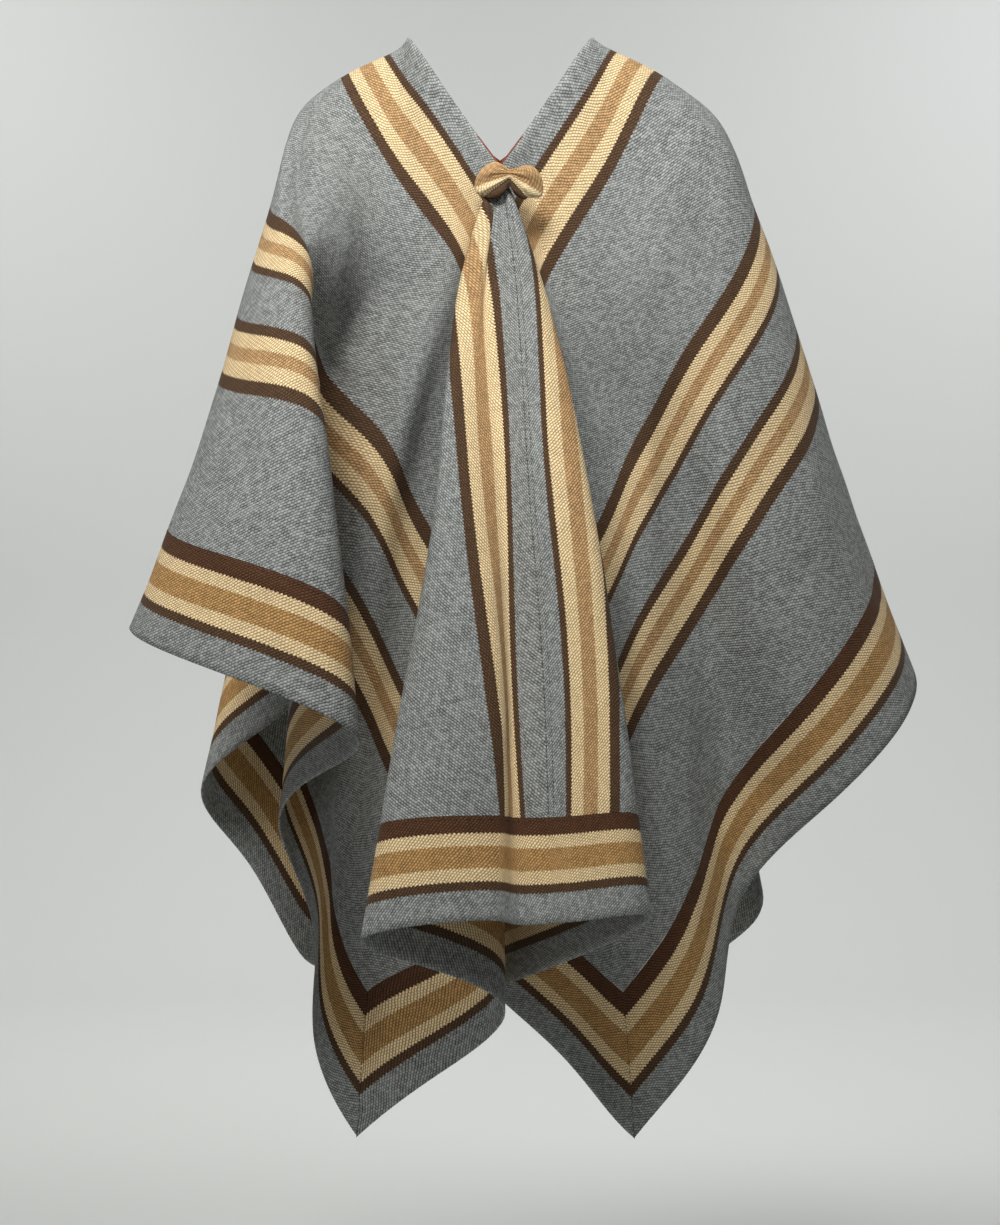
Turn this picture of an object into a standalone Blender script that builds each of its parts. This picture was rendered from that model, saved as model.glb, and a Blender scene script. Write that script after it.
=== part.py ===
"""Andean poncho, worn shape without its wearer: two woven halves joined down the middle,
a striped band sewn round all four sides, and a small gathered bow where the neck slit ends.

Metres, +Z up, the wearer faces -Y. The origin is the middle of the neck opening at shoulder height.
The cloth is first thought of lying flat (x across the shoulders, y towards the front hem), and the
function drape() says where each flat place hangs."""
import math

import bmesh
import bpy
import numpy as np

# ---- the flat cloth -------------------------------------------------------------------------
half_width = 0.65            # shoulder to shoulder, half
half_length = 0.95           # front hem to back hem, half
band_width = 0.103           # the striped band round the edge
half_slit = 0.18             # neck slit along the middle seam, half
cloth_thickness = 0.002
seam_gap = 0.0005            # between pieces that are sewn together
inner_width = half_width - band_width
inner_length = half_length - band_width

# ---- how finely the solids are cut --------------------------------------------------------------
fold_pitch = 0.046           # widest strip between two fold lines, at the hem
beside_tight = 0.012         # an extra line this far from a tight fold
tight_turn = math.radians(50)
panel_levels = (0, 0.058, 0.105, 0.157, 0.23, 0.31, 0.39, 0.466, 0.55, 0.64, 0.74, 0.83, 0.92, 1)
band_levels = (1, 1.35, 1.7, 2)

# ---- how it hangs -----------------------------------------------------------------------------
# The neck edge: where it is on the slit (cm towards the front), then across, depth and height (cm).
neck_columns = ("slit_place", "across", "depth", "height")
neck_rows = (
    (-18.0, 0.0, 9.0, -11.0),       # back end of the slit
    (-11.5, 6.2, 6.0, -6.0),
    (-3.8, 9.9, 0.0, 0.0),          # side of the neck, on the shoulder
    (7.5, 5.2, -7.0, -7.6),
    (18.0, 0.0, -12.0, -15.8),      # front end, the bottom of the V
)

# Fold lines run from the neck slit to the hem. Each row is one fold: the edge it ends on, the place
# along that edge (cm, flat), where it starts (cm along the slit for the side edges, or how far it
# leads sideways at the V for the hems), and then across, depth and height (cm) at four levels:
# the collar stripes, the first outer stripe, the last outer stripe, and the hem.
fold_columns = ("edge", "place", "lead", "collar", "chest", "elbow", "hem")
level_shares = (0.157, 0.466, 0.74)      # of the way from the slit to the band; the hem is the fourth
fold_rows = (
    ("front", -65, 0, (-3, -12, -28.7), (-6.8, -12.5, -54), (-11, -12, -77.5), (-14.5, -13, -114.5)),
    ("front", -55, -.12, (-2.3, -12.3, -28.6), (-4, -13, -52), (-5, -15, -75), (-6.4, -17, -107.5)),
    ("front", -46, -.24, (-1.7, -12.9, -28.2), (-.5, -15, -50.5), (-.3, -18.5, -71), (0, -22, -100.8)),
    ("front", -24.5, -.54, (-3.4, -15, -26.2), (-5.5, -26, -46.4), (-8, -33, -64), (-12.3, -40, -90.4)),
    ("front", -10.2, -.57, (-1.6, -16, -26.3), (-2.1, -27, -46.5), (-.3, -34.5, -64), (-.3, -41.5, -88.5)),
    ("front", -4.4, -.46, (-1.2, -15.6, -26.3), (.1, -25.8, -46.4), (.9, -32.9, -64), (1.7, -40.6, -89)),
    ("front", -2.4, -.34, (-.1, -16.1, -26.3), (1.1, -26.3, -46.4), (1.9, -33.2, -64), (2.9, -40.6, -89)),
    ("front", 0, 0, (1.4, -16.8, -26.3), (2.6, -27.7, -46.5), (3.8, -34.4, -64), (4.5, -41.1, -88.8)),
    ("front", 3.5, .43, (3.2, -16.8, -26.3), (4.6, -28.5, -46.6), (5.7, -35, -64), (6.4, -41.6, -88.6)),
    ("front", 11.8, .34, (3.5, -16, -26.3), (7.3, -27.5, -46.5), (9.8, -34.5, -64), (12.4, -41, -88)),
    ("front", 40.5, .3, (2.6, -13.3, -28.8), (3.1, -16.2, -49.4), (1.8, -17.4, -70), (1.1, -17.6, -98.4)),
    ("front", 44.5, .27, (2.8, -12.6, -29.2), (3, -14, -50), (1.6, -14.4, -71), (.5, -14.5, -99.8)),
    ("front", 48.5, .22, (3.1, -12.2, -29.5), (3.8, -12.9, -51), (3, -12.8, -72.6), (2.3, -12.9, -102.6)),
    ("front", 54.7, .13, (3.6, -12, -29.7), (5.5, -12.5, -52.5), (6.5, -12.5, -75), (7, -13.5, -107)),
    ("right", 95, 18, (4.2, -12.2, -30), (9, -12.5, -54.6), (11, -11.5, -77.5), (13.8, -10, -115.4)),
    ("right", 80, 12, (4.9, -12, -27.2), (12.8, -13, -46.5), (15.1, -14, -69.3), (22.2, -10, -103.3)),
    ("right", 67, 7, (7.9, -11, -22), (16.1, -12, -40.2), (20.7, -10, -60.9), (25.5, -5, -91.2)),
    ("right", 55, 3, (10.6, -9, -17.5), (19.6, -12, -34.1), (24.7, -13, -54), (34, -10, -80.9)),
    ("right", 41, 0, (12.9, -7, -13.1), (24, -9.5, -27.5), (31, -9, -44.7), (43, -5, -71.8)),
    ("right", 20, -3, (16.4, -3, -5.6), (26.9, -4, -19.8), (33.3, -2, -37), (43.2, 7.5, -63.8)),
    ("right", -5, -5, (17.4, 2, -3.6), (26.2, 4, -16.6), (32, 9, -32), (39, 20, -55)),
    ("right", -36, -9, (14, 7, -5), (24, 13.5, -20.5), (29.5, 20.5, -36.5), (33.5, 30, -60.5)),
    ("right", -62, -12, (11, 8.5, -8), (19, 15, -27), (22, 20, -46), (23.5, 27, -77)),
    ("right", -76, -13.4, (8.9, 9.6, -10), (16.4, 14.2, -31), (22.4, 15.4, -54), (28.8, 14.2, -89.8)),
    ("right", -82, -14, (8, 10, -11), (15, 13.5, -33), (21.5, 12.8, -57), (29.4, 10, -94.2)),
    ("back", 65, 0, (4, 12, -20), (9.5, 14.5, -44), (16, 14.5, -65.5), (23, 13, -102)),
    ("back", 44, 0, (3.5, 12.8, -19), (8.8, 16.5, -41.5), (13.5, 17.4, -61), (17.8, 17.3, -89.5)),
    ("back", 22, 0, (2.4, 13.3, -19), (6, 19.8, -39), (8.8, 27, -57), (11.4, 35.2, -83.3)),
    ("back", 0, 0, (0, 13.5, -19.5), (0, 16.8, -38.5), (0, 18.4, -56.5), (.4, 19.5, -82.5)),
    ("back", -23, 0, (-2.4, 13.3, -19), (-5.6, 19.8, -39), (-8.2, 27.4, -57), (-10.4, 35.6, -83.3)),
    ("back", -45, 0, (-3.5, 12.8, -19), (-8.2, 16.5, -41.5), (-12.2, 17.5, -61), (-15.6, 18, -90)),
    ("left", -95, -18, (-4, 12, -20), (-9, 14.5, -44.5), (-14.5, 14, -67), (-19.5, 14, -103)),
    ("left", -88, -16, (-6, 11, -15), (-13.5, 13.5, -37), (-18, 12.5, -61), (-21.9, 10, -100.2)),
    ("left", -77, -14, (-8.6, 10, -10.6), (-17.8, 13.8, -31), (-23, 12.5, -55), (-27.6, 7, -89.5)),
    ("left", -69, -12.4, (-10.4, 9.2, -8.6), (-20.8, 13.5, -27), (-26, 11.4, -50.5), (-31.8, 4.8, -83.6)),
    ("left", -62, -11.5, (-11.4, 8.7, -7.6), (-21.6, 12.2, -25), (-26.3, 9, -46.8), (-32, 1.8, -79.6)),
    ("left", -42, -9, (-14, 7.5, -5), (-21.3, 9, -20), (-20.5, 8, -38.5), (-21, 5, -69.5)),
    ("left", -15, -6, (-16.9, 3.5, -3.4), (-23.2, 2, -15.5), (-26, -2, -33), (-28.5, -7, -58)),
    ("left", 4, -5, (-17, .8, -3.9), (-23.4, -5, -17.6), (-26.4, -12, -35.2), (-31, -17.5, -60.8)),
    ("left", 17, -4, (-16.2, -2, -6), (-23.5, -11, -20.6), (-27.4, -19.5, -38.5), (-35.2, -26, -63.1)),
    ("left", 43, -2, (-12.7, -6, -12.7), (-18.8, -14.5, -25.4), (-16.9, -24, -43.5), (-13, -33, -73.2)),
    ("left", 62, 3.5, (-9, -8.7, -18.6), (-19.4, -7, -34.5), (-21.2, -5.6, -57), (-23, -6.8, -83.6)),
    ("left", 67, 5, (-7.8, -9.6, -20.3), (-18.2, -5.3, -37), (-19.5, -3.4, -61.3), (-21.8, -4, -88.4)),
    ("left", 75, 10, (-5.2, -11.5, -24), (-12.2, -13, -43.5), (-16, -10, -67), (-19.1, -8, -95.4)),
    ("left", 85, 14, (-4, -12, -26.5), (-9.5, -13, -49), (-13, -12, -73), (-19, -11, -105.3)),
)

# The points of the shoulders push the cloth out: which side, flat place, reach across and along,
# and how far outwards and upwards (cm).
shoulder_columns = ("side", "across", "along", "reach_across", "reach_along", "push_out", "push_up")
shoulder_rows = (
    (-1, 17.5, -2, 5.5, 15, 0.7, 0.5),
    (1, 17.5, 2, 5.5, 15, 0.8, 0.7),
)

# ---- the gathered bow at the bottom of the V ----------------------------------------------------
# share of the half width, top and bottom edge, half depth (cm), and how far the middle line sits back
bow_columns = ("share", "top", "bottom", "half_depth", "set_back")
bow_rows = (
    (-1.0, 0.6, -1.0, 0.15, 1.3),
    (-0.85, 1.4, -1.5, 0.40, 0.95),
    (-0.55, 2.0, -1.9, 0.52, 0.45),
    (-0.25, 1.6, -1.2, 0.45, 0.1),
    (0.0, 1.2, -0.3, 0.38, 0.0),
    (0.25, 1.5, -1.2, 0.45, 0.1),
    (0.55, 1.9, -1.9, 0.52, 0.4),
    (0.85, 1.2, -1.7, 0.40, 0.9),
    (1.0, 0.3, -1.2, 0.15, 1.25),
)
bow_half_width = 0.034
bow_centre = (0.008, -0.1424, -0.177)
bow_sections = 24
bow_sides = 14


def cubic_slopes(places, points, start=None, end=None):
    """Slopes of the smooth curve through points at places; its ends are free unless slopes are given."""
    count = len(places)
    steps = np.diff(places)
    rises = np.diff(points, axis=0) / steps[:, None]
    matrix = np.zeros((count, count))
    sides = np.zeros_like(points)
    for k in range(1, count - 1):
        matrix[k, k - 1:k + 2] = steps[k], 2 * (steps[k - 1] + steps[k]), steps[k - 1]
        sides[k] = 3 * (steps[k] * rises[k - 1] + steps[k - 1] * rises[k])
    matrix[0, :2] = (2, 1) if start is None else (1, 0)
    sides[0] = 3 * rises[0] if start is None else start
    matrix[-1, -2:] = (1, 2) if end is None else (0, 1)
    sides[-1] = 3 * rises[-1] if end is None else end
    return np.linalg.solve(matrix, sides)


def cubic_read(places, points, slopes, wanted):
    """Points of that curve at the wanted places."""
    span = np.clip(np.searchsorted(places, wanted, side="right") - 1, 0, len(places) - 2)
    step = (places[span + 1] - places[span])[:, None]
    share = (np.asarray(wanted) - places[span])[:, None] / step
    square, cube = share ** 2, share ** 3
    return ((2 * cube - 3 * square + 1) * points[span] + (cube - 2 * square + share) * step * slopes[span]
            + (3 * square - 2 * cube) * points[span + 1] + (cube - square) * step * slopes[span + 1])


def neck_point(slit_place, side):
    """A point of the neck edge, on the wearer's left (side 1) or right (side -1)."""
    rows = np.array(neck_rows) / 100
    slopes = cubic_slopes(rows[:, 0], rows[:, 1:])
    point = cubic_read(rows[:, 0], rows[:, 1:], slopes, np.array([slit_place]))[0]
    return point * (side, 1, 1)


class Fold:
    """One fold line, from the neck slit to the hem."""

    def __init__(self, row):
        self.edge, place, lead, *levels = row
        self.place = place / 100
        on_hem = self.edge in ("front", "back")
        if on_hem:
            self.root = half_slit if self.edge == "front" else -half_slit
            self.lead = lead
            self.inner = self.place * inner_width / half_width
            self.inner_run = math.hypot(self.inner, inner_length - half_slit)
        else:
            self.root = lead / 100
            self.lead = 0.0
            self.inner = self.place * inner_length / half_length
            self.inner_run = math.hypot(inner_width, self.inner - self.root)
        self.on_hem = on_hem
        self.outer_run = math.hypot(self.place - self.inner, band_width)
        start = neck_point(self.root, 1 if self.edge == "right" else -1)
        self.points = np.vstack([start] + [np.array(level) / 100 for level in levels])
        shares = [0.0] + list(level_shares)
        self.runs = np.array([share * self.inner_run for share in shares] + [self.inner_run + self.outer_run])
        self.slopes = cubic_slopes(self.runs, self.points)

    def run(self, level):
        """Length of cloth from the slit to a level: 0 the slit, 1 the band's seam, 2 the hem."""
        return self.inner_run * min(level, 1) + self.outer_run * max(level - 1, 0)

    def point(self, level):
        return cubic_read(self.runs, self.points, self.slopes, np.array([self.run(level)]))[0]

    def direction(self, level):
        near, far = max(level - 0.001, 0), min(level + 0.001, 2)
        step = self.point(far) - self.point(near)
        return step / np.linalg.norm(step)

    def place_on_ring(self, level):
        """Its flat x (hems) or y (sides) where it crosses the ring of that level."""
        if self.on_hem:
            share = self.inner / inner_width + self.lead * (1 - min(level, 1)) ** 3
            return share * ring_halves(level)[0]
        if level <= 1:
            return self.root + (self.inner - self.root) * level
        return self.inner + (self.place - self.inner) * (level - 1)


def ring_halves(level):
    """Half width and half length of the flat rectangle at a level; level 0 is the slit."""
    if level <= 1:
        return inner_width * level, half_slit + (inner_length - half_slit) * level
    return inner_width + band_width * (level - 1), inner_length + band_width * (level - 1)


folds = [Fold(row) for row in fold_rows]
fold_edges = [fold.edge for fold in folds]
front_right = fold_edges.index("right")
back_right = fold_edges.index("back")
back_left = fold_edges.index("left")
runs_between_corners = {
    "front": list(range(0, front_right + 1)),
    "right": list(range(back_right, front_right - 1, -1)),
    "back": list(range(back_left, back_right - 1, -1)),
    "left": list(range(back_left, len(folds))) + [0],
}
corners = {  # fold: the signs of flat x and y there
    0: (-1, 1), front_right: (1, 1), back_right: (1, -1), back_left: (-1, -1)}
ring_fineness = 16
rings = {}


def turned(vector, axis, angle):
    return (vector * math.cos(angle) + np.cross(axis, vector) * math.sin(angle)
            + axis * np.dot(axis, vector) * (1 - math.cos(angle)))


def corner_frame(corner, level, points):
    """Directions in space of flat +x and flat +y at a corner, square to each other as in the flat cloth."""
    sign_x, sign_y = corners[corner]
    hem = runs_between_corners["front" if sign_y > 0 else "back"]
    side = runs_between_corners["left" if sign_x < 0 else "right"]
    along_x = -sign_x * (points[hem[1] if sign_x < 0 else hem[-2]] - points[corner])
    along_y = -sign_y * (points[side[-2] if sign_y > 0 else side[1]] - points[corner])
    down = folds[corner].direction(level)
    normal = np.cross(along_x, along_y)
    normal = normal - down * np.dot(normal, down)
    normal = normal / max(np.linalg.norm(normal), 1e-9)
    panel_angle = math.atan2(sign_y * (inner_length - half_slit), sign_x * inner_width)
    mitre_angle = math.atan2(sign_y, sign_x)
    blend = min(max((level - 0.9) / 0.2, 0), 1)
    angle = panel_angle + (mitre_angle - panel_angle) * blend
    return turned(down, normal, -angle), turned(down, normal, math.pi / 2 - angle)


def ring(level):
    """The four curves that make the closed ring of cloth at a level, each in rising flat x or y."""
    key = round(level, 6)
    if key in rings:
        return rings[key]
    wide, long = ring_halves(level)
    wide = max(wide, 1e-6)
    points = {k: fold.point(level) for k, fold in enumerate(folds)}
    frames = {corner: corner_frame(corner, level, points) for corner in corners}
    firmness = min(max((level - 0.05) / 0.3, 0), 1)      # near the neck the curve's own ends lead
    curves = {}
    for name, members in runs_between_corners.items():
        axis = 0 if name in ("front", "back") else 1
        end_place = wide if axis == 0 else long
        places = np.array([folds[k].place_on_ring(level) for k in members])
        places[0], places[-1] = -end_place, end_place
        if axis == 0 and wide < 1e-5:
            places = np.linspace(-wide, wide, len(members))
        knots = np.array([points[k] for k in members])
        free = cubic_slopes(places, knots)
        ends = [frames[members[k]][axis] * firmness + free[k] * (1 - firmness) for k in (0, -1)]
        slopes = cubic_slopes(places, knots, ends[0], ends[1])
        fine = np.concatenate([np.linspace(places[k], places[k + 1], ring_fineness, endpoint=False)
                               for k in range(len(places) - 1)] + [places[-1:]])
        dense = cubic_read(places, knots, slopes, fine)
        lengths = np.concatenate([[0], np.cumsum(np.linalg.norm(np.diff(dense, axis=0), axis=1))])
        curves[name] = (places, knots, slopes, fine, lengths)
    rings[key] = curves
    return curves


def read_ring(curve, wanted):
    """Points of a ring curve at flat places, the cloth running evenly between one fold and the next."""
    places, knots, slopes, fine, lengths = curve
    wanted = np.clip(wanted, places[0], places[-1])
    span = np.clip(np.searchsorted(places, wanted, side="right") - 1, 0, len(places) - 2)
    share = (wanted - places[span]) / (places[span + 1] - places[span])
    near, far = lengths[span * ring_fineness], lengths[(span + 1) * ring_fineness]
    return cubic_read(places, knots, slopes, np.interp(near + (far - near) * share, lengths, fine))


def drape(x, y, side):
    """Where the flat places x, y hang. On the middle line beside the slit, side says which half is meant."""
    shape = x.shape
    x, y = x.ravel(), y.ravel()
    across, along = np.abs(x), np.abs(y)
    level_x = np.where(across <= inner_width, across / inner_width, 1 + (across - inner_width) / band_width)
    level_y = np.where(along <= inner_length, (along - half_slit) / (inner_length - half_slit),
                       1 + (along - inner_length) / band_width)
    levels = np.clip(np.maximum(level_x, level_y), 0, 2)
    on_hem = level_y >= level_x - 1e-9
    names = np.where(on_hem, np.where(y > 0, "front", "back"), np.where(x + side * 1e-9 > 0, "right", "left"))
    points = np.zeros((len(x), 3))
    keys = np.round(levels, 6)
    for name in ("front", "back", "left", "right"):
        flat = x if name in ("front", "back") else y
        for key in np.unique(keys[names == name]):
            chosen = np.where((names == name) & (keys == key))[0]
            points[chosen] = read_ring(ring(float(key))[name], flat[chosen])
    for facing, place_x, place_y, reach_x, reach_y, push_out, push_up in shoulder_rows:
        near = np.exp(-((x * 100 - facing * place_x) / reach_x) ** 2 - ((y * 100 - place_y) / reach_y) ** 2)
        points += near[:, None] * np.array((facing * push_out, 0, push_up)) / 100
    return points.reshape(shape + (3,))


def cloth_normals(x, y, side):
    """Outward directions of the cloth, from small steps either way that stay on the cloth."""
    step = 0.004
    beside_slit = np.abs(y) < half_slit - 1e-6
    slit_end = (np.abs(x) < 1e-6) & (np.abs(np.abs(y) - half_slit) < 1e-6)
    low_x = np.clip(x - step, -half_width, half_width)
    high_x = np.clip(x + step, -half_width, half_width)
    if side > 0:
        low_x = np.where(beside_slit, np.maximum(low_x, 0), low_x)
    else:
        high_x = np.where(beside_slit, np.minimum(high_x, 0), high_x)
    low_y = np.where(slit_end & (y > 0), y, np.maximum(y - step, -half_length))
    high_y = np.where(slit_end & (y < 0), y, np.minimum(y + step, half_length))
    across = drape(high_x, y, side) - drape(low_x, y, side)
    along = drape(x, high_y, side) - drape(x, low_y, side)
    normals = np.cross(along, across)
    return normals / np.maximum(np.linalg.norm(normals, axis=-1, keepdims=True), 1e-12)


def finish(name, shape, colour, roughness=0.9):
    """The finished object, with its own material, in the poncho's collection."""
    mesh = bpy.data.meshes.new(name)
    shape.to_mesh(mesh)
    shape.free()
    mesh.shade_smooth()
    mesh.set_sharp_from_angle(angle=math.radians(60))
    material = bpy.data.materials.new(name + "_material")
    material.use_nodes = True
    shader = material.node_tree.nodes["Principled BSDF"]
    shader.inputs["Base Color"].default_value = colour
    shader.inputs["Roughness"].default_value = roughness
    shader.inputs["Metallic"].default_value = 0.0
    mesh.materials.append(material)
    poncho.objects.link(bpy.data.objects.new(name, mesh))


def wall(name, x, y, side, drawn_x, drawn_y, colour):
    """A closed wall of cloth over a grid of flat places. drawn_x and drawn_y are the same grid with its
    sewn edges drawn in by the seam gap; the outward directions come from the full grid, so that pieces
    that are sewn together meet face to face."""
    middle = drape(drawn_x, drawn_y, side)
    offset = cloth_normals(x, y, side) * cloth_thickness / 2
    rows, columns = x.shape
    shape = bmesh.new()
    bmesh.ops.create_grid(shape, x_segments=rows - 1, y_segments=columns - 1, size=0.5)
    copied = bmesh.ops.duplicate(shape, geom=shape.verts[:] + shape.edges[:] + shape.faces[:])
    inside = {element for element in copied["geom"] if isinstance(element, bmesh.types.BMVert)}
    for vertex in shape.verts:
        i = round((vertex.co.x + 0.5) * (rows - 1))
        j = round((vertex.co.y + 0.5) * (columns - 1))
        vertex.co = middle[i, j] + (-offset[i, j] if vertex in inside else offset[i, j])
    bmesh.ops.remove_doubles(shape, verts=shape.verts, dist=0.00001)
    rim = [edge for edge in shape.edges if edge.is_boundary]
    edging = bmesh.ops.bridge_loops(shape, edges=rim)["faces"]
    bmesh.ops.triangulate(shape, faces=edging, quad_method="SHORT_EDGE")
    bmesh.ops.recalc_face_normals(shape, faces=shape.faces)
    finish(name, shape, colour)


def flat_place(k, share, level):
    """Flat x and y of the line a share of the way from fold k to the next one, at a level."""
    edge = folds[k].edge
    on_hem = edge in ("front", "back")
    wide, long = ring_halves(level)
    ends = []
    for j in (k, (k + 1) % len(folds)):
        if j in corners:
            ends.append(corners[j][0] * wide if on_hem else corners[j][1] * long)
        else:
            ends.append(folds[j].place_on_ring(level))
    place = ends[0] + (ends[1] - ends[0]) * share
    if on_hem:
        return place, long if edge == "front" else -long
    return wide if edge == "right" else -wide, place


def is_tight(k):
    """Whether the cloth turns sharply at a fold, near the band."""
    if k in corners:
        return False
    place = folds[k].place_on_ring(0.9) + np.array((-0.02, 0, 0.02))
    before, at, after = read_ring(ring(0.9)[folds[k].edge], place)
    turn = np.dot(at - before, after - at) / np.linalg.norm(at - before) / np.linalg.norm(after - at)
    return bool(turn < math.cos(tight_turn))


def flat_grid(first, last, levels):
    """Flat x and y of a grid that follows the folds, from fold first round to fold last."""
    lines = []
    k = first
    while k != last:
        follower = (k + 1) % len(folds)
        width = math.dist(flat_place(k, 0, 2), flat_place(k, 1, 2))
        strips = math.ceil(width / fold_pitch)
        shares = [i / strips for i in range(strips)]
        beside = beside_tight / width
        if strips > 1:
            shares += [beside] * is_tight(k) + [1 - beside] * is_tight(follower)
        lines += [(k, share) for share in sorted(shares)]
        k = follower
    lines.append(((last - 1) % len(folds), 1))
    places = np.array([[flat_place(k, share, level) for level in levels] for k, share in lines])
    return places[:, :, 0], places[:, :, 1]


def make_panel(name, first, last, side):
    """One woven half, from the middle seam to the band."""
    x, y = flat_grid(first, last, panel_levels)
    drawn_x = side * np.clip(np.abs(x), seam_gap / 2, inner_width - seam_gap / 2)
    drawn_y = np.clip(y, -inner_length + seam_gap / 2, inner_length - seam_gap / 2)
    wall(name, x, y, side, drawn_x, drawn_y, wool_grey)


def make_band(name, first, last):
    """One length of the striped band, its ends cut to a mitre."""
    x, y = flat_grid(first, last, band_levels)
    if folds[first].edge in ("front", "back"):
        side = 1 if y[0, 0] > 0 else -1
        drawn_y = side * np.maximum(np.abs(y), inner_length + seam_gap / 2)
        reach = inner_width + np.abs(y) - inner_length - seam_gap
        drawn_x = np.clip(x, -reach, reach)
    else:
        side = 1 if x[0, 0] > 0 else -1
        drawn_x = side * np.maximum(np.abs(x), inner_width + seam_gap / 2)
        reach = inner_length + np.abs(x) - inner_width - seam_gap
        drawn_y = np.clip(y, -reach, reach)
    wall(name, x, y, side, drawn_x, drawn_y, band_brown)


def make_bow():
    """The gathered bow: a ball drawn out sideways and shaped, section by section, by the table."""
    rows = np.array(bow_rows)
    slopes = cubic_slopes(rows[:, 0], rows[:, 1:])
    shape = bmesh.new()
    bmesh.ops.create_uvsphere(shape, u_segments=bow_sides, v_segments=bow_sections, radius=1)
    for vertex in shape.verts:
        share = vertex.co.z
        top, bottom, half_depth, set_back = cubic_read(rows[:, 0], rows[:, 1:], slopes, np.array([share]))[0]
        around = math.hypot(vertex.co.x, vertex.co.y)
        fullness = min(around / 0.3, 1) / max(around, 1e-9)
        height = (top + bottom) / 2 + (top - bottom) / 2 * vertex.co.y * fullness
        depth = set_back + half_depth * vertex.co.x * fullness
        vertex.co = np.array(bow_centre) + (share * bow_half_width, depth / 100, height / 100)
    finish("neck_bow", shape, bow_tan)


for thing in list(bpy.data.objects):
    bpy.data.objects.remove(thing, do_unlink=True)
poncho = bpy.data.collections.new("andean_poncho")
bpy.context.scene.collection.children.link(poncho)

wool_grey = (0.27, 0.275, 0.265, 1)
band_brown = (0.09, 0.035, 0.02, 1)
bow_tan = (0.44, 0.29, 0.155, 1)

front_middle = fold_rows.index(next(row for row in fold_rows if row[:2] == ("front", 0)))
back_middle = fold_rows.index(next(row for row in fold_rows if row[:2] == ("back", 0)))
make_panel("panel_left", front_middle, back_middle, 1)
make_panel("panel_right", back_middle, front_middle, -1)
make_band("border_front", 0, front_right)
make_band("border_side_left", front_right, back_right)
make_band("border_back", back_right, back_left)
make_band("border_side_right", back_left, 0)
make_bow()
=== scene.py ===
import math

import bmesh
import bpy
import numpy as np
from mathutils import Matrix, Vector


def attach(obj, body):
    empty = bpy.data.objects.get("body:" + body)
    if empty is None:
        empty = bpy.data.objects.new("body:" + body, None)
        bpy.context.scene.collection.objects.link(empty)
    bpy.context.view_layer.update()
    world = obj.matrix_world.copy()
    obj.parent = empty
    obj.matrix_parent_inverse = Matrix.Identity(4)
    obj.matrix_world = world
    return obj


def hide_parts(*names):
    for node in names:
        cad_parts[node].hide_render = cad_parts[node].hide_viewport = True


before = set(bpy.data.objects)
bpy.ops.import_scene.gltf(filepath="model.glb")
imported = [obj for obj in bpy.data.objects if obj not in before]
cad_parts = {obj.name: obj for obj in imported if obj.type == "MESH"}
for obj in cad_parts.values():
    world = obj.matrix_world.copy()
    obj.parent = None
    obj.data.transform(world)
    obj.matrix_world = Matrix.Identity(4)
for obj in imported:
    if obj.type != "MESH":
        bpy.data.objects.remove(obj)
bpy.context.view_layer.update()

print("frame loaded:", ", ".join(sorted(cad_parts)))

cut = {  # the flat cloth, in metres: x across the shoulders, y towards the front hem
    "halfWidth": 0.65,
    "halfLength": 0.95,
    "bandWidth": 0.103,
    "halfSlit": 0.18,
    "thickness": 0.0020,
    "seamGap": 0.0003,
}
innerWidth = cut["halfWidth"] - cut["bandWidth"]
innerLength = cut["halfLength"] - cut["bandWidth"]

mesh = {  # how finely the cloth is cut up, in metres of flat cloth
    "columnPitch": 0.0088,
    "rowPitch": 0.0080,
    "bandPitch": 0.0074,
    "ringSteps": 16,
}

neckRows = (  # the neck edge: place on the slit, then across, depth and height, in cm
    (-18.0, 0.0, 9.0, -11.0),
    (-11.5, 6.2, 6.0, -6.0),
    (-3.8, 9.9, 0.0, 0.0),
    (7.5, 5.2, -7.0, -7.6),
    (18.0, 0.0, -12.0, -15.8),
)

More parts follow.
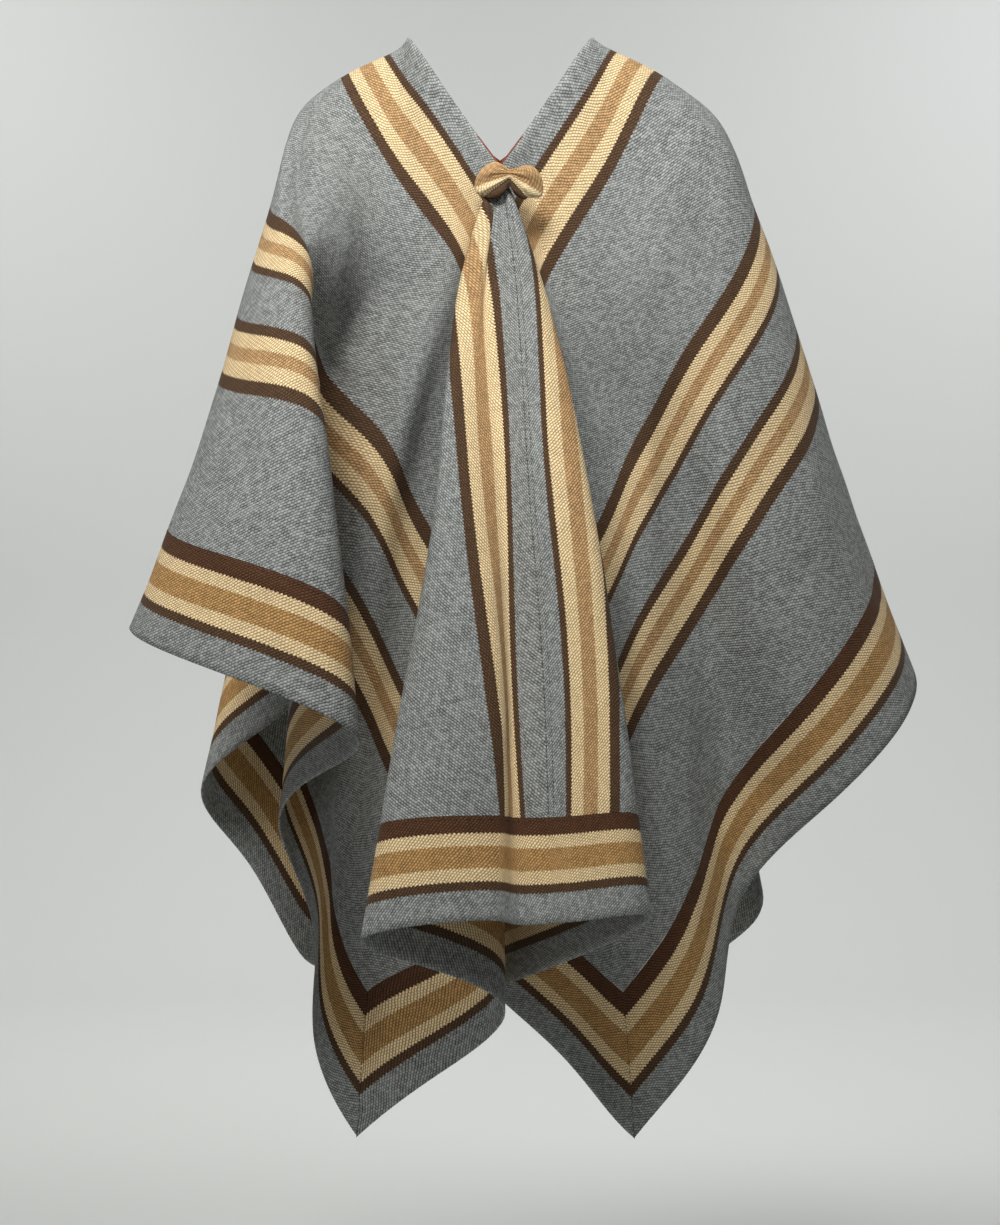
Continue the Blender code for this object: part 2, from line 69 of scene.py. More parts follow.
# One row is one fold line from the slit to the hem: its place along the edge it reaches, where it
# starts, then across, depth and height at the collar, chest, elbow and hem, in cm.
foldShares = (0.157, 0.466, 0.74)  # how far along the first three of those lie; the hem is the last
foldRows = {
    "front": (
        (-65, 0, (-3, -12, -28.7), (-6.8, -12.5, -54), (-11, -12, -77.5), (-14.5, -13, -114.5)),
        (-55, -.12, (-2.3, -12.3, -28.6), (-4, -13, -52), (-5, -15, -75), (-6.4, -17, -107.5)),
        (-46, -.24, (-1.7, -12.9, -28.2), (-.5, -15, -50.5), (0, -18.5, -71), (.35, -22, -100.8)),
        (-24.5, -.54, (-3.4, -15, -26.2), (-5.5, -26, -46.4), (-8, -33, -64), (-12.3, -40, -90.4)),
        (-10.2, -.57, (-1.6, -16, -26.3), (-2.1, -27, -46.5), (-.3, -34.5, -64), (-.3, -41.5, -88.5)),
        (-4.4, -.46, (-1.2, -15.6, -26.3), (.1, -25.8, -46.4), (.9, -32.9, -64), (1.7, -40.6, -89)),
        (-2.4, -.34, (-.1, -16.1, -26.3), (1.1, -26.3, -46.4), (1.9, -33.2, -64), (2.9, -40.6, -89)),
        (0, 0, (1.4, -16.8, -26.3), (2.6, -27.7, -46.5), (3.8, -34.4, -64), (4.5, -41.1, -88.8)),
        (3.5, .43, (3.2, -16.8, -26.3), (4.6, -28.5, -46.6), (5.7, -35, -64), (6.4, -41.6, -88.6)),
        (11.8, .34, (3.5, -16, -26.3), (7.3, -27.5, -46.5), (9.8, -34.5, -64), (12.4, -41, -88)),
        (40.5, .3, (2.6, -13.3, -28.8), (3.1, -16.2, -49.4), (1.2, -17.4, -70), (.2, -17.6, -98.4)),
        (44.5, .27, (2.8, -12.6, -29.2), (3, -14, -50), (.9, -14.4, -71), (-.35, -14.5, -99.8)),
        (48.5, .22, (3.1, -12.2, -29.5), (3.8, -12.9, -51), (3, -12.8, -72.6), (2.3, -12.9, -102.6)),
        (54.7, .13, (3.6, -12, -29.7), (5.5, -12.5, -52.5), (6.5, -12.5, -75), (7, -13.5, -107)),
    ),
    "right": (
        (95, 18, (4.2, -12.2, -30), (9, -12.5, -54.6), (11, -11.5, -77.5), (13.8, -10, -115.4)),
        (80, 12, (4.9, -12, -27.2), (12.8, -13, -46.5), (15.1, -14, -69.3), (22.2, -10, -103.3)),
        (67, 7, (7.9, -11, -22), (16.1, -12, -40.2), (20.7, -10, -60.9), (25.5, -5, -91.2)),
        (55, 3, (10.6, -9, -17.5), (19.6, -12, -34.1), (24.7, -13, -54), (34, -10, -80.9)),
        (41, 0, (12.9, -7, -13.1), (24, -9.5, -27.5), (31, -9, -44.7), (43, -5, -71.8)),
        (20, -3, (16.4, -3, -5.6), (26.9, -4, -19.8), (33.3, -2, -37), (43.2, 7.5, -63.8)),
        (-5, -5, (17.4, 2, -3.6), (26.2, 4, -16.6), (32, 9, -32), (39, 20, -55)),
        (-36, -9, (14, 7, -5), (24, 13.5, -20.5), (29.5, 20.5, -36.5), (33.5, 30, -60.5)),
        (-62, -12, (11, 8.5, -8), (19, 15, -27), (22, 20, -46), (23.5, 27, -77)),
        (-76, -13.4, (8.9, 9.6, -10), (16.4, 14.2, -31), (22.4, 15.4, -54), (28.8, 14.2, -89.8)),
        (-82, -14, (8, 10, -11), (15, 13.5, -33), (21.5, 12.8, -57), (29.4, 10, -94.2)),
    ),
    "back": (
        (65, 0, (4, 12, -20), (9.5, 14.5, -44), (16, 14.5, -65.5), (23, 13, -102)),
        (44, 0, (3.5, 12.8, -19), (8.8, 16.5, -41.5), (13.5, 17.4, -61), (17.8, 17.3, -89.5)),
        (22, 0, (2.4, 13.3, -19), (6, 19.8, -39), (8.8, 27, -57), (11.4, 35.2, -83.3)),
        (0, 0, (0, 13.5, -19.5), (0, 16.8, -38.5), (0, 18.4, -56.5), (.4, 19.5, -82.5)),
        (-23, 0, (-2.4, 13.3, -19), (-5.6, 19.8, -39), (-8.2, 27.4, -57), (-10.4, 35.6, -83.3)),
        (-45, 0, (-3.5, 12.8, -19), (-8.2, 16.5, -41.5), (-12.2, 17.5, -61), (-15.6, 18, -90)),
    ),
    "left": (
        (-95, -18, (-4, 12, -20), (-9, 14.5, -44.5), (-14.5, 14, -67), (-19.5, 14, -103)),
        (-88, -16, (-6, 11, -15), (-13.5, 13.5, -37), (-18, 12.5, -61), (-21.9, 10, -100.2)),
        (-77, -14, (-8.6, 10, -10.6), (-17.8, 13.8, -31), (-23, 12.5, -55), (-27.6, 7, -89.5)),
        (-69, -12.4, (-10.4, 9.2, -8.6), (-20.8, 13.5, -27), (-26, 11.4, -50.5), (-31.8, 4.8, -83.6)),
        (-62, -11.5, (-11.4, 8.7, -7.6), (-21.6, 12.2, -25), (-26.3, 9, -46.8), (-32, 1.8, -79.6)),
        (-42, -9, (-14, 7.5, -5), (-21.3, 9, -20), (-20.5, 8, -38.5), (-21, 5, -69.5)),
        (-15, -6, (-16.9, 3.5, -3.4), (-23.2, 2, -15.5), (-26, -2, -33), (-28.5, -7, -58)),
        (4, -5, (-17, .8, -3.9), (-23.4, -5, -17.6), (-26.4, -12, -35.2), (-31, -17.5, -60.8)),
        (17, -4, (-16.2, -2, -6), (-23.5, -11, -20.6), (-27.4, -19.5, -38.5), (-35.2, -26, -63.1)),
        (43, -2, (-12.7, -6, -12.7), (-18.8, -14.5, -25.4), (-16.9, -24, -43.5), (-13, -33, -73.2)),
        (62, 3.5, (-9, -8.7, -18.6), (-19.4, -7, -34.5), (-21.2, -5.6, -57), (-23, -6.8, -83.6)),
        (67, 5, (-7.8, -9.6, -20.3), (-18.2, -5.3, -37), (-19.5, -3.4, -61.3), (-21.8, -4, -88.4)),
        (75, 10, (-5.2, -11.5, -24), (-12.2, -13, -43.5), (-16, -10, -67), (-19.1, -8, -95.4)),
        (85, 14, (-4, -12, -26.5), (-9.5, -13, -49), (-13, -12, -73), (-19, -11, -105.3)),
    ),
}

shoulders = {  # each side pushes out a little: flat place, reach, and push outwards and upwards, in cm
    "right": (-1, 17.5, -2, 5.5, 15, 0.7, 0.5),
    "left": (1, 17.5, 2, 5.5, 15, 0.8, 0.7),
}


def unit(vectors):
    return vectors / np.maximum(np.linalg.norm(vectors, axis=-1, keepdims=True), 1e-12)


def cubicSlopes(places, points, start=None, end=None):  # slopes of the smooth curve through the points
    count = len(places)
    steps = np.diff(places)
    rises = np.diff(points, axis=0) / steps[:, None]
    matrix = np.zeros((count, count))
    sides = np.zeros_like(points)
    for k in range(1, count - 1):
        matrix[k, k - 1:k + 2] = steps[k], 2 * (steps[k - 1] + steps[k]), steps[k - 1]
        sides[k] = 3 * (steps[k] * rises[k - 1] + steps[k - 1] * rises[k])
    matrix[0, :2] = (2, 1) if start is None else (1, 0)
    sides[0] = 3 * rises[0] if start is None else start
    matrix[-1, -2:] = (1, 2) if end is None else (0, 1)
    sides[-1] = 3 * rises[-1] if end is None else end
    return np.linalg.solve(matrix, sides)


def cubicRead(places, points, slopes, wanted):  # points of that curve
    span = np.clip(np.searchsorted(places, wanted, side="right") - 1, 0, len(places) - 2)
    step = (places[span + 1] - places[span])[:, None]
    share = (np.asarray(wanted) - places[span])[:, None] / step
    square, cube = share ** 2, share ** 3
    return ((2 * cube - 3 * square + 1) * points[span] + (cube - 2 * square + share) * step * slopes[span]
            + (3 * square - 2 * cube) * points[span + 1] + (cube - square) * step * slopes[span + 1])


def neckPoint(slitPlace, side):
    rows = np.array(neckRows) / 100
    slopes = cubicSlopes(rows[:, 0], rows[:, 1:])
    return cubicRead(rows[:, 0], rows[:, 1:], slopes, np.array([slitPlace]))[0] * (side, 1, 1)


class Fold:  # one fold line, from the neck slit to the hem
    def __init__(self, edge, place, lead, *levels):
        self.edge, self.place, self.onHem = edge, place / 100, edge in ("front", "back")
        if self.onHem:
            self.root = cut["halfSlit"] if self.edge == "front" else -cut["halfSlit"]
            self.lead = lead
            self.inner = self.place * innerWidth / cut["halfWidth"]
            self.innerRun = math.hypot(self.inner, innerLength - cut["halfSlit"])
        else:
            self.root = lead / 100
            self.lead = 0.0
            self.inner = self.place * innerLength / cut["halfLength"]
            self.innerRun = math.hypot(innerWidth, self.inner - self.root)
        self.outerRun = math.hypot(self.place - self.inner, cut["bandWidth"])
        start = neckPoint(self.root, 1 if self.edge == "right" else -1)
        self.points = np.vstack([start] + [np.array(level) / 100 for level in levels])
        self.runs = np.array([share * self.innerRun for share in (0.0,) + foldShares]
                             + [self.innerRun + self.outerRun])
        self.slopes = cubicSlopes(self.runs, self.points)

    def point(self, level):  # level 0 is the slit, 1 the band's seam, 2 the hem
        run = self.innerRun * min(level, 1) + self.outerRun * max(level - 1, 0)
        return cubicRead(self.runs, self.points, self.slopes, np.array([run]))[0]

    def direction(self, level):
        return unit(self.point(min(level + 0.001, 2)) - self.point(max(level - 0.001, 0)))

    def placeOnRing(self, level):
        if self.onHem:
            share = self.inner / innerWidth + self.lead * (1 - min(level, 1)) ** 3
            return share * ringHalves(level)[0]
        if level <= 1:
            return self.root + (self.inner - self.root) * level
        return self.inner + (self.place - self.inner) * (level - 1)


def ringHalves(level):  # half width and half length of the flat rectangle at a level
    if level <= 1:
        return innerWidth * level, cut["halfSlit"] + (innerLength - cut["halfSlit"]) * level
    return innerWidth + cut["bandWidth"] * (level - 1), innerLength + cut["bandWidth"] * (level - 1)


folds = [Fold(edge, *row) for edge, rows in foldRows.items() for row in rows]
foldEdges = [fold.edge for fold in folds]
frontRight, backRight, backLeft = (foldEdges.index(name) for name in ("right", "back", "left"))
ringMembers = {
    "front": list(range(0, frontRight + 1)),
    "right": list(range(backRight, frontRight - 1, -1)),
    "back": list(range(backLeft, backRight - 1, -1)),
    "left": list(range(backLeft, len(folds))) + [0],
}
corners = {0: (-1, 1), frontRight: (1, 1), backRight: (1, -1), backLeft: (-1, -1)}


blends = {"firm": (0.05, 0.3), "mitre": (0.9, 0.2), "calm": (0.0, 0.12)}  # the level each starts at, its run


def blend(name, level):  # from 0 to 1
    start, run = blends[name]
    return np.clip((level - start) / run, 0, 1)


def turned(vector, axis, angle):
    return (vector * math.cos(angle) + np.cross(axis, vector) * math.sin(angle)
            + axis * np.dot(axis, vector) * (1 - math.cos(angle)))


def cornerFrame(corner, level, points):  # where flat +x and +y point at a corner of the cloth
    signX, signY = corners[corner]
    hem = ringMembers["front" if signY > 0 else "back"]
    side = ringMembers["left" if signX < 0 else "right"]
    alongX = -signX * (points[hem[1] if signX < 0 else hem[-2]] - points[corner])
    alongY = -signY * (points[side[-2] if signY > 0 else side[1]] - points[corner])
    down = folds[corner].direction(level)
    normal = np.cross(alongX, alongY)
    normal = unit(normal - down * np.dot(normal, down))
    panelAngle = math.atan2(signY * (innerLength - cut["halfSlit"]), signX * innerWidth)
    mitreAngle = math.atan2(signY, signX)
    angle = panelAngle + (mitreAngle - panelAngle) * blend("mitre", level)
    return turned(down, normal, -angle), turned(down, normal, math.pi / 2 - angle)


def ringCurves(level):  # the four curves that make the closed ring of cloth at a level
    wide, long = ringHalves(level)
    wide = max(wide, 1e-6)
    points = {k: fold.point(level) for k, fold in enumerate(folds)}
    frames = {corner: cornerFrame(corner, level, points) for corner in corners}
    firmness = blend("firm", level)
    curves = {}
    for name, members in ringMembers.items():
        axis = 0 if name in ("front", "back") else 1
        endPlace = wide if axis == 0 else long
        places = np.array([folds[k].placeOnRing(level) for k in members])
        places[0], places[-1] = -endPlace, endPlace
        if axis == 0 and wide < 1e-5:
            places = np.linspace(-wide, wide, len(members))
        knots = np.array([points[k] for k in members])
        free = cubicSlopes(places, knots)
        ends = [frames[members[k]][axis] * firmness + free[k] * (1 - firmness) for k in (0, -1)]
        slopes = cubicSlopes(places, knots, ends[0], ends[1])
        fine = np.concatenate([np.linspace(places[k], places[k + 1], mesh["ringSteps"], endpoint=False)
                               for k in range(len(places) - 1)] + [places[-1:]])
        dense = cubicRead(places, knots, slopes, fine)
        lengths = np.concatenate([[0], np.cumsum(np.linalg.norm(np.diff(dense, axis=0), axis=1))])
        curves[name] = (places, knots, slopes, fine, lengths)
    return curves


def readRing(curve, wanted):  # the cloth runs evenly between one fold and the next
    places, knots, slopes, fine, lengths = curve
    wanted = np.clip(wanted, places[0], places[-1])
    span = np.clip(np.searchsorted(places, wanted, side="right") - 1, 0, len(places) - 2)
    share = (wanted - places[span]) / (places[span + 1] - places[span])
    near, far = lengths[span * mesh["ringSteps"]], lengths[(span + 1) * mesh["ringSteps"]]
    return cubicRead(places, knots, slopes, np.interp(near + (far - near) * share, lengths, fine))


def flatPlace(k, share, level):  # flat x and y on the line a share of the way from fold k to the next
    edge = folds[k].edge
    onHem = edge in ("front", "back")
    wide, long = ringHalves(level)
    ends = []
    for j in (k, (k + 1) % len(folds)):
        if j in corners:
            ends.append(corners[j][0] * wide if onHem else corners[j][1] * long)
        else:
            ends.append(folds[j].placeOnRing(level))
    place = ends[0] + (ends[1] - ends[0]) * share
    if onHem:
        return place, long if edge == "front" else -long
    return wide if edge == "right" else -wide, place


# The whole cloth is one ring of columns (round the hem) by rows (from the slit outwards).
columns = []
foldColumn = {}
for k in range(len(folds)):
    foldColumn[k] = len(columns)
    width = math.dist(flatPlace(k, 0, 2), flatPlace(k, 1, 2))
    strips = math.ceil(width / mesh["columnPitch"])
    columns += [(k, i / strips) for i in range(strips)]
panelRows = round((innerLength - cut["halfSlit"]) / mesh["rowPitch"])
bandRows = round(cut["bandWidth"] / mesh["bandPitch"])
levels = np.concatenate([np.linspace(0, 1, panelRows + 1), np.linspace(1, 2, bandRows + 1)[1:]])
seamRow = panelRows
columnEdges = np.array([folds[k].edge for k, _ in columns])
flat = np.array([[flatPlace(k, share, level) for level in levels] for k, share in columns])
cloth = np.zeros(flat.shape[:2] + (3,))
for row, level in enumerate(levels):
    curves = ringCurves(level)
    for name, curve in curves.items():
        chosen = columnEdges == name
        cloth[chosen, row] = readRing(curve, flat[chosen, row, 0 if name in ("front", "back") else 1])
for facing, placeX, placeY, reachX, reachY, pushOut, pushUp in shoulders.values():
    near = np.exp(-((flat[..., 0] * 100 - facing * placeX) / reachX) ** 2
                  - ((flat[..., 1] * 100 - placeY) / reachY) ** 2)
    cloth += near[..., None] * np.array((facing * pushOut, 0, pushUp)) / 100
print("cloth laid out:", cloth.shape[0], "columns by", cloth.shape[1], "rows")


def outwards(points):  # unit normals of the ring of cloth
    down = np.empty_like(points)
    down[:, 1:-1] = points[:, 2:] - points[:, :-2]
    down[:, 0] = points[:, 1] - points[:, 0]
    down[:, -1] = points[:, -1] - points[:, -2]
    around = np.roll(points, -1, axis=0) - np.roll(points, 1, axis=0)
    normals = np.cross(down, around)
    for name in ("front", "back"):  # every column of a hem starts at the same end of the slit
        chosen = columnEdges == name
        normals[chosen, 0] = normals[chosen, 1].mean(axis=0)
        last = np.where(chosen)[0][-1]
        normals[(last + 1) % len(points), 0] = normals[chosen, 0][0]
    return unit(normals)


def segmentReach(places, start, end, bend):  # share along a line on the flat cloth, distance from it
    start, end = np.array(start, float), np.array(end, float)
    run = end - start
    length = np.linalg.norm(run)
    side = np.array((-run[1], run[0])) / length
    share = ((places - start) @ run) / length ** 2
    away = (places - start) @ side - bend * 4 * np.clip(share, 0, 1) * (1 - np.clip(share, 0, 1))
    return share, away


creases = {  # flat start and end (cm), half width (cm), height outwards (mm, minus is a trough), bend (cm)
    "left front": (
        ((13.5, 4), (19.5, 22), 1.3, 2.4, 0.3), ((16, 3), (23, 18), 1.5, -2.6, 0.4),
        ((10, 8), (16, 25), 1.9, -1.1, 0), ((21.5, 25), (33, 47), 1.1, 2.8, 0.5),
        ((18.5, 28), (29, 49), 1.6, -2.6, 0), ((30, 24), (43, 37), 2.2, -2.8, -0.8),
        ((37, 21), (50, 36), 2.2, 2.0, 0), ((41, 49), (57, 71), 1.2, 3.2, 0.6),
        ((47, 50), (60, 67), 1.5, -3.0, 0.5), ((39, 53), (53, 75), 1.3, -2.2, 0),
        ((44, 37), (50, 40.5), 0.7, -1.1, 0.2), ((45.5, 42.5), (51.5, 43.5), 0.6, 0.9, 0),
        ((39, 39), (45.5, 46), 0.8, -1.0, 0), ((34, 31), (40, 41), 1.0, 1.2, 0.3),
        ((50, 24), (57, 33), 1.1, -1.4, 0), ((56, 42), (63, 52), 1.0, 1.2, 0.2),
    ),
    "right front": (
        ((-15, 0), (-26, 20), 1.6, -5.0, 0.6), ((-17, -1), (-31, 18), 1.2, 1.6, 0.5),
        ((-13, 6), (-20, 27), 2.6, 1.6, 0), ((-11, 20), (-25, 46), 1.6, -1.8, 0),
        ((-54.8, 22.5), (-56.3, 33), 0.55, 1.8, 0.2), ((-53.8, 24), (-54.9, 32), 0.5, -1.1, 0),
        ((-38, 13), (-50, 22), 2.0, -1.4, 0.4), ((-42, 20), (-52, 29), 1.5, 1.1, 0),
        ((-30, 12), (-37, 20), 1.2, -1.1, 0), ((-61, 31), (-64.5, 38), 0.8, -1.4, 0),
        ((-46, 59), (-57, 80), 1.1, 2.2, 0.4), ((-49, 59), (-60, 79), 1.2, -2.2, 0),
        ((-60, 50), (-63, 63), 0.9, 1.4, 0), ((-14.5, -2), (-24.6, 15), 1.25, -8, 0.5),
        ((-23.9, 9), (-24.6, 33), 1.3, -8, 0.4), ((-13.5, 3), (-20.6, 23), 2.1, 6.5, 0.3),
        ((-18.8, 14), (-32, 42), 2.0, 8.5, 0),
    ),
    "front pleat": (
        ((-8.5, 38), (-15, 82), 1.8, 1.3, 0.5), ((-12, 50), (-19, 91), 1.5, -1.4, 0),
        ((0.3, 85.5), (-0.6, 95.5), 0.8, -2.2, 0), ((1.9, 87), (1.5, 95.5), 0.7, 1.2, 0),
        ((4.5, 58), (8, 89), 1.1, -1.0, 0), ((-16.5, 70), (-21, 95), 0.9, 1.0, 0),
        ((7, 80), (9.5, 95), 0.8, 1.0, 0),
    ),
    "left back": (
        ((12, -20), (20, -60), 2.0, -2.6, 0.8), ((20, -25), (34, -70), 1.6, 2.2, 0.5),
        ((30, -10), (50, -30), 1.8, -2.2, 0), ((36, -20), (56, -50), 1.4, 2.4, 0.7),
        ((8, -30), (10.5, -76), 1.4, 1.6, 0), ((40, -48), (58, -74), 1.2, -2.2, 0),
        ((16, -8), (30, -22), 1.5, -1.7, 0.3), ((52, -16), (62, -24), 1.0, 1.2, 0),
    ),
    "right back": (
        ((-12, -22), (-18, -62), 1.9, -2.3, 0.7), ((-22, -22), (-36, -66), 1.5, 2.1, 0),
        ((-28, -8), (-50, -26), 1.7, -2.1, 0.5), ((-34, -18), (-57, -42), 1.5, 1.9, 0),
        ((-7, -34), (-12, -79), 1.3, -1.7, 0.4), ((-44, -50), (-60, -76), 1.2, 1.9, 0),
        ((-18, -4), (-32, -14), 1.4, -1.6, 0), ((-52, -6), (-62, -14), 1.0, -1.2, 0.2),
    ),
}


def creaseHeight(places):  # soft troughs and ridges, faded at both ends
    height = np.zeros(places.shape[:-1])
    for rows in creases.values():
        for start, end, width, rise, bend in rows:
            share, away = segmentReach(places * 100, start, end, bend)
            fade = np.clip(share, 0, 1) * (1 - np.clip(share, 0, 1)) * 4
            fade = np.where((share > 0) & (share < 1), fade ** 0.7, 0)
            height += rise / 1000 * np.exp(-(away / width) ** 2) * fade
    return height


def unevenness(places):  # the cloth is never quite flat: long low swells, a few tenths of a millimetre
    x, y = places[..., 0] * 100, places[..., 1] * 100
    return (0.00045 * np.sin(x / 3.1 + 0.8 * np.sin(y / 5.3)) * np.sin(y / 4.4 + 1.1 * np.sin(x / 6.7))
            + 0.0003 * np.sin(x / 1.7 + y / 3.9 + 1.3 * np.sin(y / 3.1)))


calm = blend("calm", levels)[None, :]  # the neck edge stays where it is
normals = outwards(cloth)
cloth = cloth + normals * ((creaseHeight(flat) + unevenness(flat)) * calm)[..., None]
normals = outwards(cloth)
print("creases laid in:", sum(len(rows) for rows in creases.values()))


def linear(colour):  # 0 to 255 as seen, turned into the renderer's own values
    shares = [value / 255 for value in colour]
    return tuple(v / 12.92 if v <= 0.04045 else ((v + 0.055) / 1.055) ** 2.4 for v in shares) + (1.0,)


class Signal:  # a node's output, which takes part in sums
    def __init__(self, socket):
        self.socket = socket

    def maths(self, kind, *others, clamp=False):
        return mathNode(self.socket.id_data, kind, self, *others, clamp=clamp)

    def __add__(self, other):
        return self.maths("ADD", other)

    def __sub__(self, other):
        return self.maths("SUBTRACT", other)

    def __rsub__(self, other):
        return mathNode(self.socket.id_data, "SUBTRACT", other, self)

    def __mul__(self, other):
        return self.maths("MULTIPLY", other)

    def __truediv__(self, other):
        return self.maths("DIVIDE", other)


def feed(target, value):  # a socket takes a link from another node, or a plain value
    source = value.socket if isinstance(value, Signal) else value
    if isinstance(source, bpy.types.NodeSocket):
        target.id_data.links.new(source, target)
    else:
        target.default_value = source


def fill(node, inputs):
    for label, value in inputs.items():
        feed(node.inputs[label], value)


def mathNode(tree, kind, *values, clamp=False):
    node = added(tree, "ShaderNodeMath", dict(enumerate(values)), operation=kind, use_clamp=clamp)
    return Signal(node.outputs[0])


def added(tree, kind, inputs=None, **settings):  # a new node, its settings first and then its inputs
    node = tree.nodes.new(kind)
    for label, value in settings.items():
        setattr(node, label, value)
    fill(node, inputs or {})
    return node


def signals(tree, group, names, inputs):  # a node group put to use
    node = added(tree, "ShaderNodeGroup", inputs, node_tree=group)
    return [Signal(node.outputs[name]) for name in names]


def groupOf(name, inputs, outputs, kind="ShaderNodeTree", outputKind="NodeSocketFloat"):
    group = bpy.data.node_groups.new(name, kind)  # an input is its default number, or its kind of socket
    for label, value in inputs.items():
        kinds = {str: value, int: "NodeSocketInt", float: "NodeSocketFloat"}
        socket = group.interface.new_socket(label, in_out="INPUT", socket_type=kinds[type(value)])
        if not isinstance(value, str):
            socket.default_value = value
    for label in outputs:
        group.interface.new_socket(label, in_out="OUTPUT", socket_type=outputKind)
    given, result = group.nodes.new("NodeGroupInput"), group.nodes.new("NodeGroupOutput")
    return group, {label: Signal(given.outputs[label]) for label in inputs}, result


def toothedGroup():  # a stripe's edge steps to and fro with the weave
    group, given, result = groupOf(
        "toothedEdge", {"Across": 0.0, "Along": 0.0, "Pitch": 0.0036, "Depth": 0.0007}, ("Place",))
    half = given["Pitch"] * 0.5
    saw = given["Along"].maths("PINGPONG", half) / half
    fill(result, {"Place": given["Across"] + (saw - 0.5) * given["Depth"] * 2.0})
    return group


weave = {"floatLength": 1.25, "rowShift": 0.5, "runShare": 0.65, "middleHeight": 0.49}


def twillGroup():  # slanting rows of short floats, each row half a float on; every float has its own shade
    group, given, result = groupOf("twillWeave", {"Across": 0.0, "Along": 0.0, "Wale": 0.0021},
                                   ("Height", "Shade"))
    unit = given["Wale"] * math.sqrt(2)
    row = (given["Across"] + given["Along"]) / unit
    step = (given["Along"] - given["Across"]) / (unit * weave["floatLength"])
    shifted = row.maths("FLOOR").maths("MULTIPLY_ADD", weave["rowShift"], step)
    ridge, run = ((value * math.pi).maths("SINE").maths("ABSOLUTE") for value in (row, shifted))
    height = ridge * run.maths("MULTIPLY_ADD", weave["runShare"], 1 - weave["runShare"])
    cell = added(group, "ShaderNodeCombineXYZ", {"X": row.maths("FLOOR"), "Y": shifted.maths("FLOOR")})
    shade = added(group, "ShaderNodeTexWhiteNoise", {"Vector": cell.outputs["Vector"]}, noise_dimensions="2D")
    fill(result, {"Height": height, "Shade": shade.outputs["Value"]})
    return group


spinning = {  # how fibres lie and are drawn out; a spread is where the noise turns dark and light
    "angle": math.radians(38), "drawnOut": (0.7, 1.0, 1.0), "detail": 3.0, "roughness": 0.62,
    "fibreSpread": (0.33, 0.67), "cloudSpread": (0.28, 0.72),
}


def heatherGroup():  # light and dark fibres spun together, and slower clouds of tone
    group, given, result = groupOf(
        "heatheredWool", {"Vector": "NodeSocketVector", "Grain": 0.0012, "Cloud": 0.035}, ("Fibre", "Cloud"))
    turn = added(group, "ShaderNodeVectorRotate", {"Vector": given["Vector"], "Angle": spinning["angle"]},
                 rotation_type="Z_AXIS")
    drawn = added(group, "ShaderNodeVectorMath", {0: turn.outputs["Vector"], 1: spinning["drawnOut"]},
                  operation="MULTIPLY")
    for label, size, place, spread in (("Fibre", "Grain", drawn.outputs["Vector"], spinning["fibreSpread"]),
                                       ("Cloud", "Cloud", given["Vector"], spinning["cloudSpread"])):
        noise = added(group, "ShaderNodeTexNoise", {
            "Vector": place, "Scale": mathNode(group, "DIVIDE", 1.0, given[size]),
            "Detail": spinning["detail"], "Roughness": spinning["roughness"]})
        level = added(group, "ShaderNodeMapRange", {
            "From Min": spread[0], "From Max": spread[1], "Value": noise.outputs["Fac"]})
        fill(result, {label: level.outputs["Result"]})
    return group


def wearGroup():  # rubbed fibres along an edge, broken up
    group, given, result = groupOf(
        "rubbedEdge", {"Distance": 1.0, "Width": 0.003, "Vector": "NodeSocketVector"}, ("Wear",))
    near = mathNode(group, "SUBTRACT", 1.0, given["Distance"] / given["Width"], clamp=True)
    noise = added(group, "ShaderNodeTexNoise", {"Scale": 260, "Vector": given["Vector"]})
    fill(result, {"Wear": near.maths("MULTIPLY", noise.outputs["Fac"], clamp=True)})
    return group


toothedEdge, twillWeave, heatheredWool, rubbedEdge = toothedGroup(), twillGroup(), heatherGroup(), wearGroup()

wool = {  # dyed wools as they look, 0 to 255, and how strongly each is heathered; the bow's two are the tan and cream painted lighter, which is painted light
    "grey": ((146, 149, 147), 1.0),
    "brown": ((86, 64, 45), 0.45),
    "redBrown": ((86, 57, 37), 0.45),
    "cream": ((229, 203, 158), 0.32),
    "tan": ((187, 150, 105), 0.60),
    "golden": ((182, 142, 90), 0.60),
    # the bow's tan and cream are the same tan and cream wool painted lighter: painted light standing in for
    # the brighter light on the bow
    "bowTanPaintedLight": ((214, 172, 122), 0.60),
    "bowCreamPaintedLight": ((244, 220, 174), 0.32),
}
panelStripes = (  # where each stripe ends, from the middle seam outwards, in metres
    ("grey", 0.022), ("brown", 0.030), ("cream", 0.043), ("tan", 0.060), ("cream", 0.073), ("brown", 0.086),
    ("grey", 0.250), ("brown", 0.263), ("cream", 0.276), ("tan", 0.288), ("cream", 0.301), ("brown", 0.309),
    ("grey", 0.351), ("brown", 0.359), ("cream", 0.372), ("tan", 0.384), ("cream", 0.397), ("brown", 0.410),
    ("grey", 0.600),
)
bandStripes = (  # from the band's sewn edge to the hem
    ("redBrown", 0.017), ("cream", 0.030), ("golden", 0.052), ("cream", 0.065), ("brown", 0.074),
    ("grey", 0.120),
)
bowStripes = (("bowTanPaintedLight", 0.0162), ("bowCreamPaintedLight", 0.0245), ("brown", 0.045))  # from the bow's top edge down; its tan and cream carry painted light


def stripeRamp(tree, stripes, place):  # colour by place across the stripes; alpha says how heathered it is
    span = stripes[-1][1]
    node = added(tree, "ShaderNodeValToRGB", {"Fac": place / span})
    ramp = node.color_ramp
    ramp.interpolation = "CONSTANT"
    begin = 0.0
    for k, (name, end) in enumerate(stripes):
        stop = ramp.elements[0] if k == 0 else ramp.elements.new(begin / span)
        stop.position = begin / span
        colour, heather = wool[name]
        stop.color = linear(colour)[:3] + (heather,)
        begin = end
    while len(ramp.elements) > len(stripes):
        ramp.elements.remove(ramp.elements[-1])
    return node


def newMaterial(name):
    material = bpy.data.materials.new(name)
    material.use_nodes = True
    return material, material.node_tree, material.node_tree.nodes["Principled BSDF"]


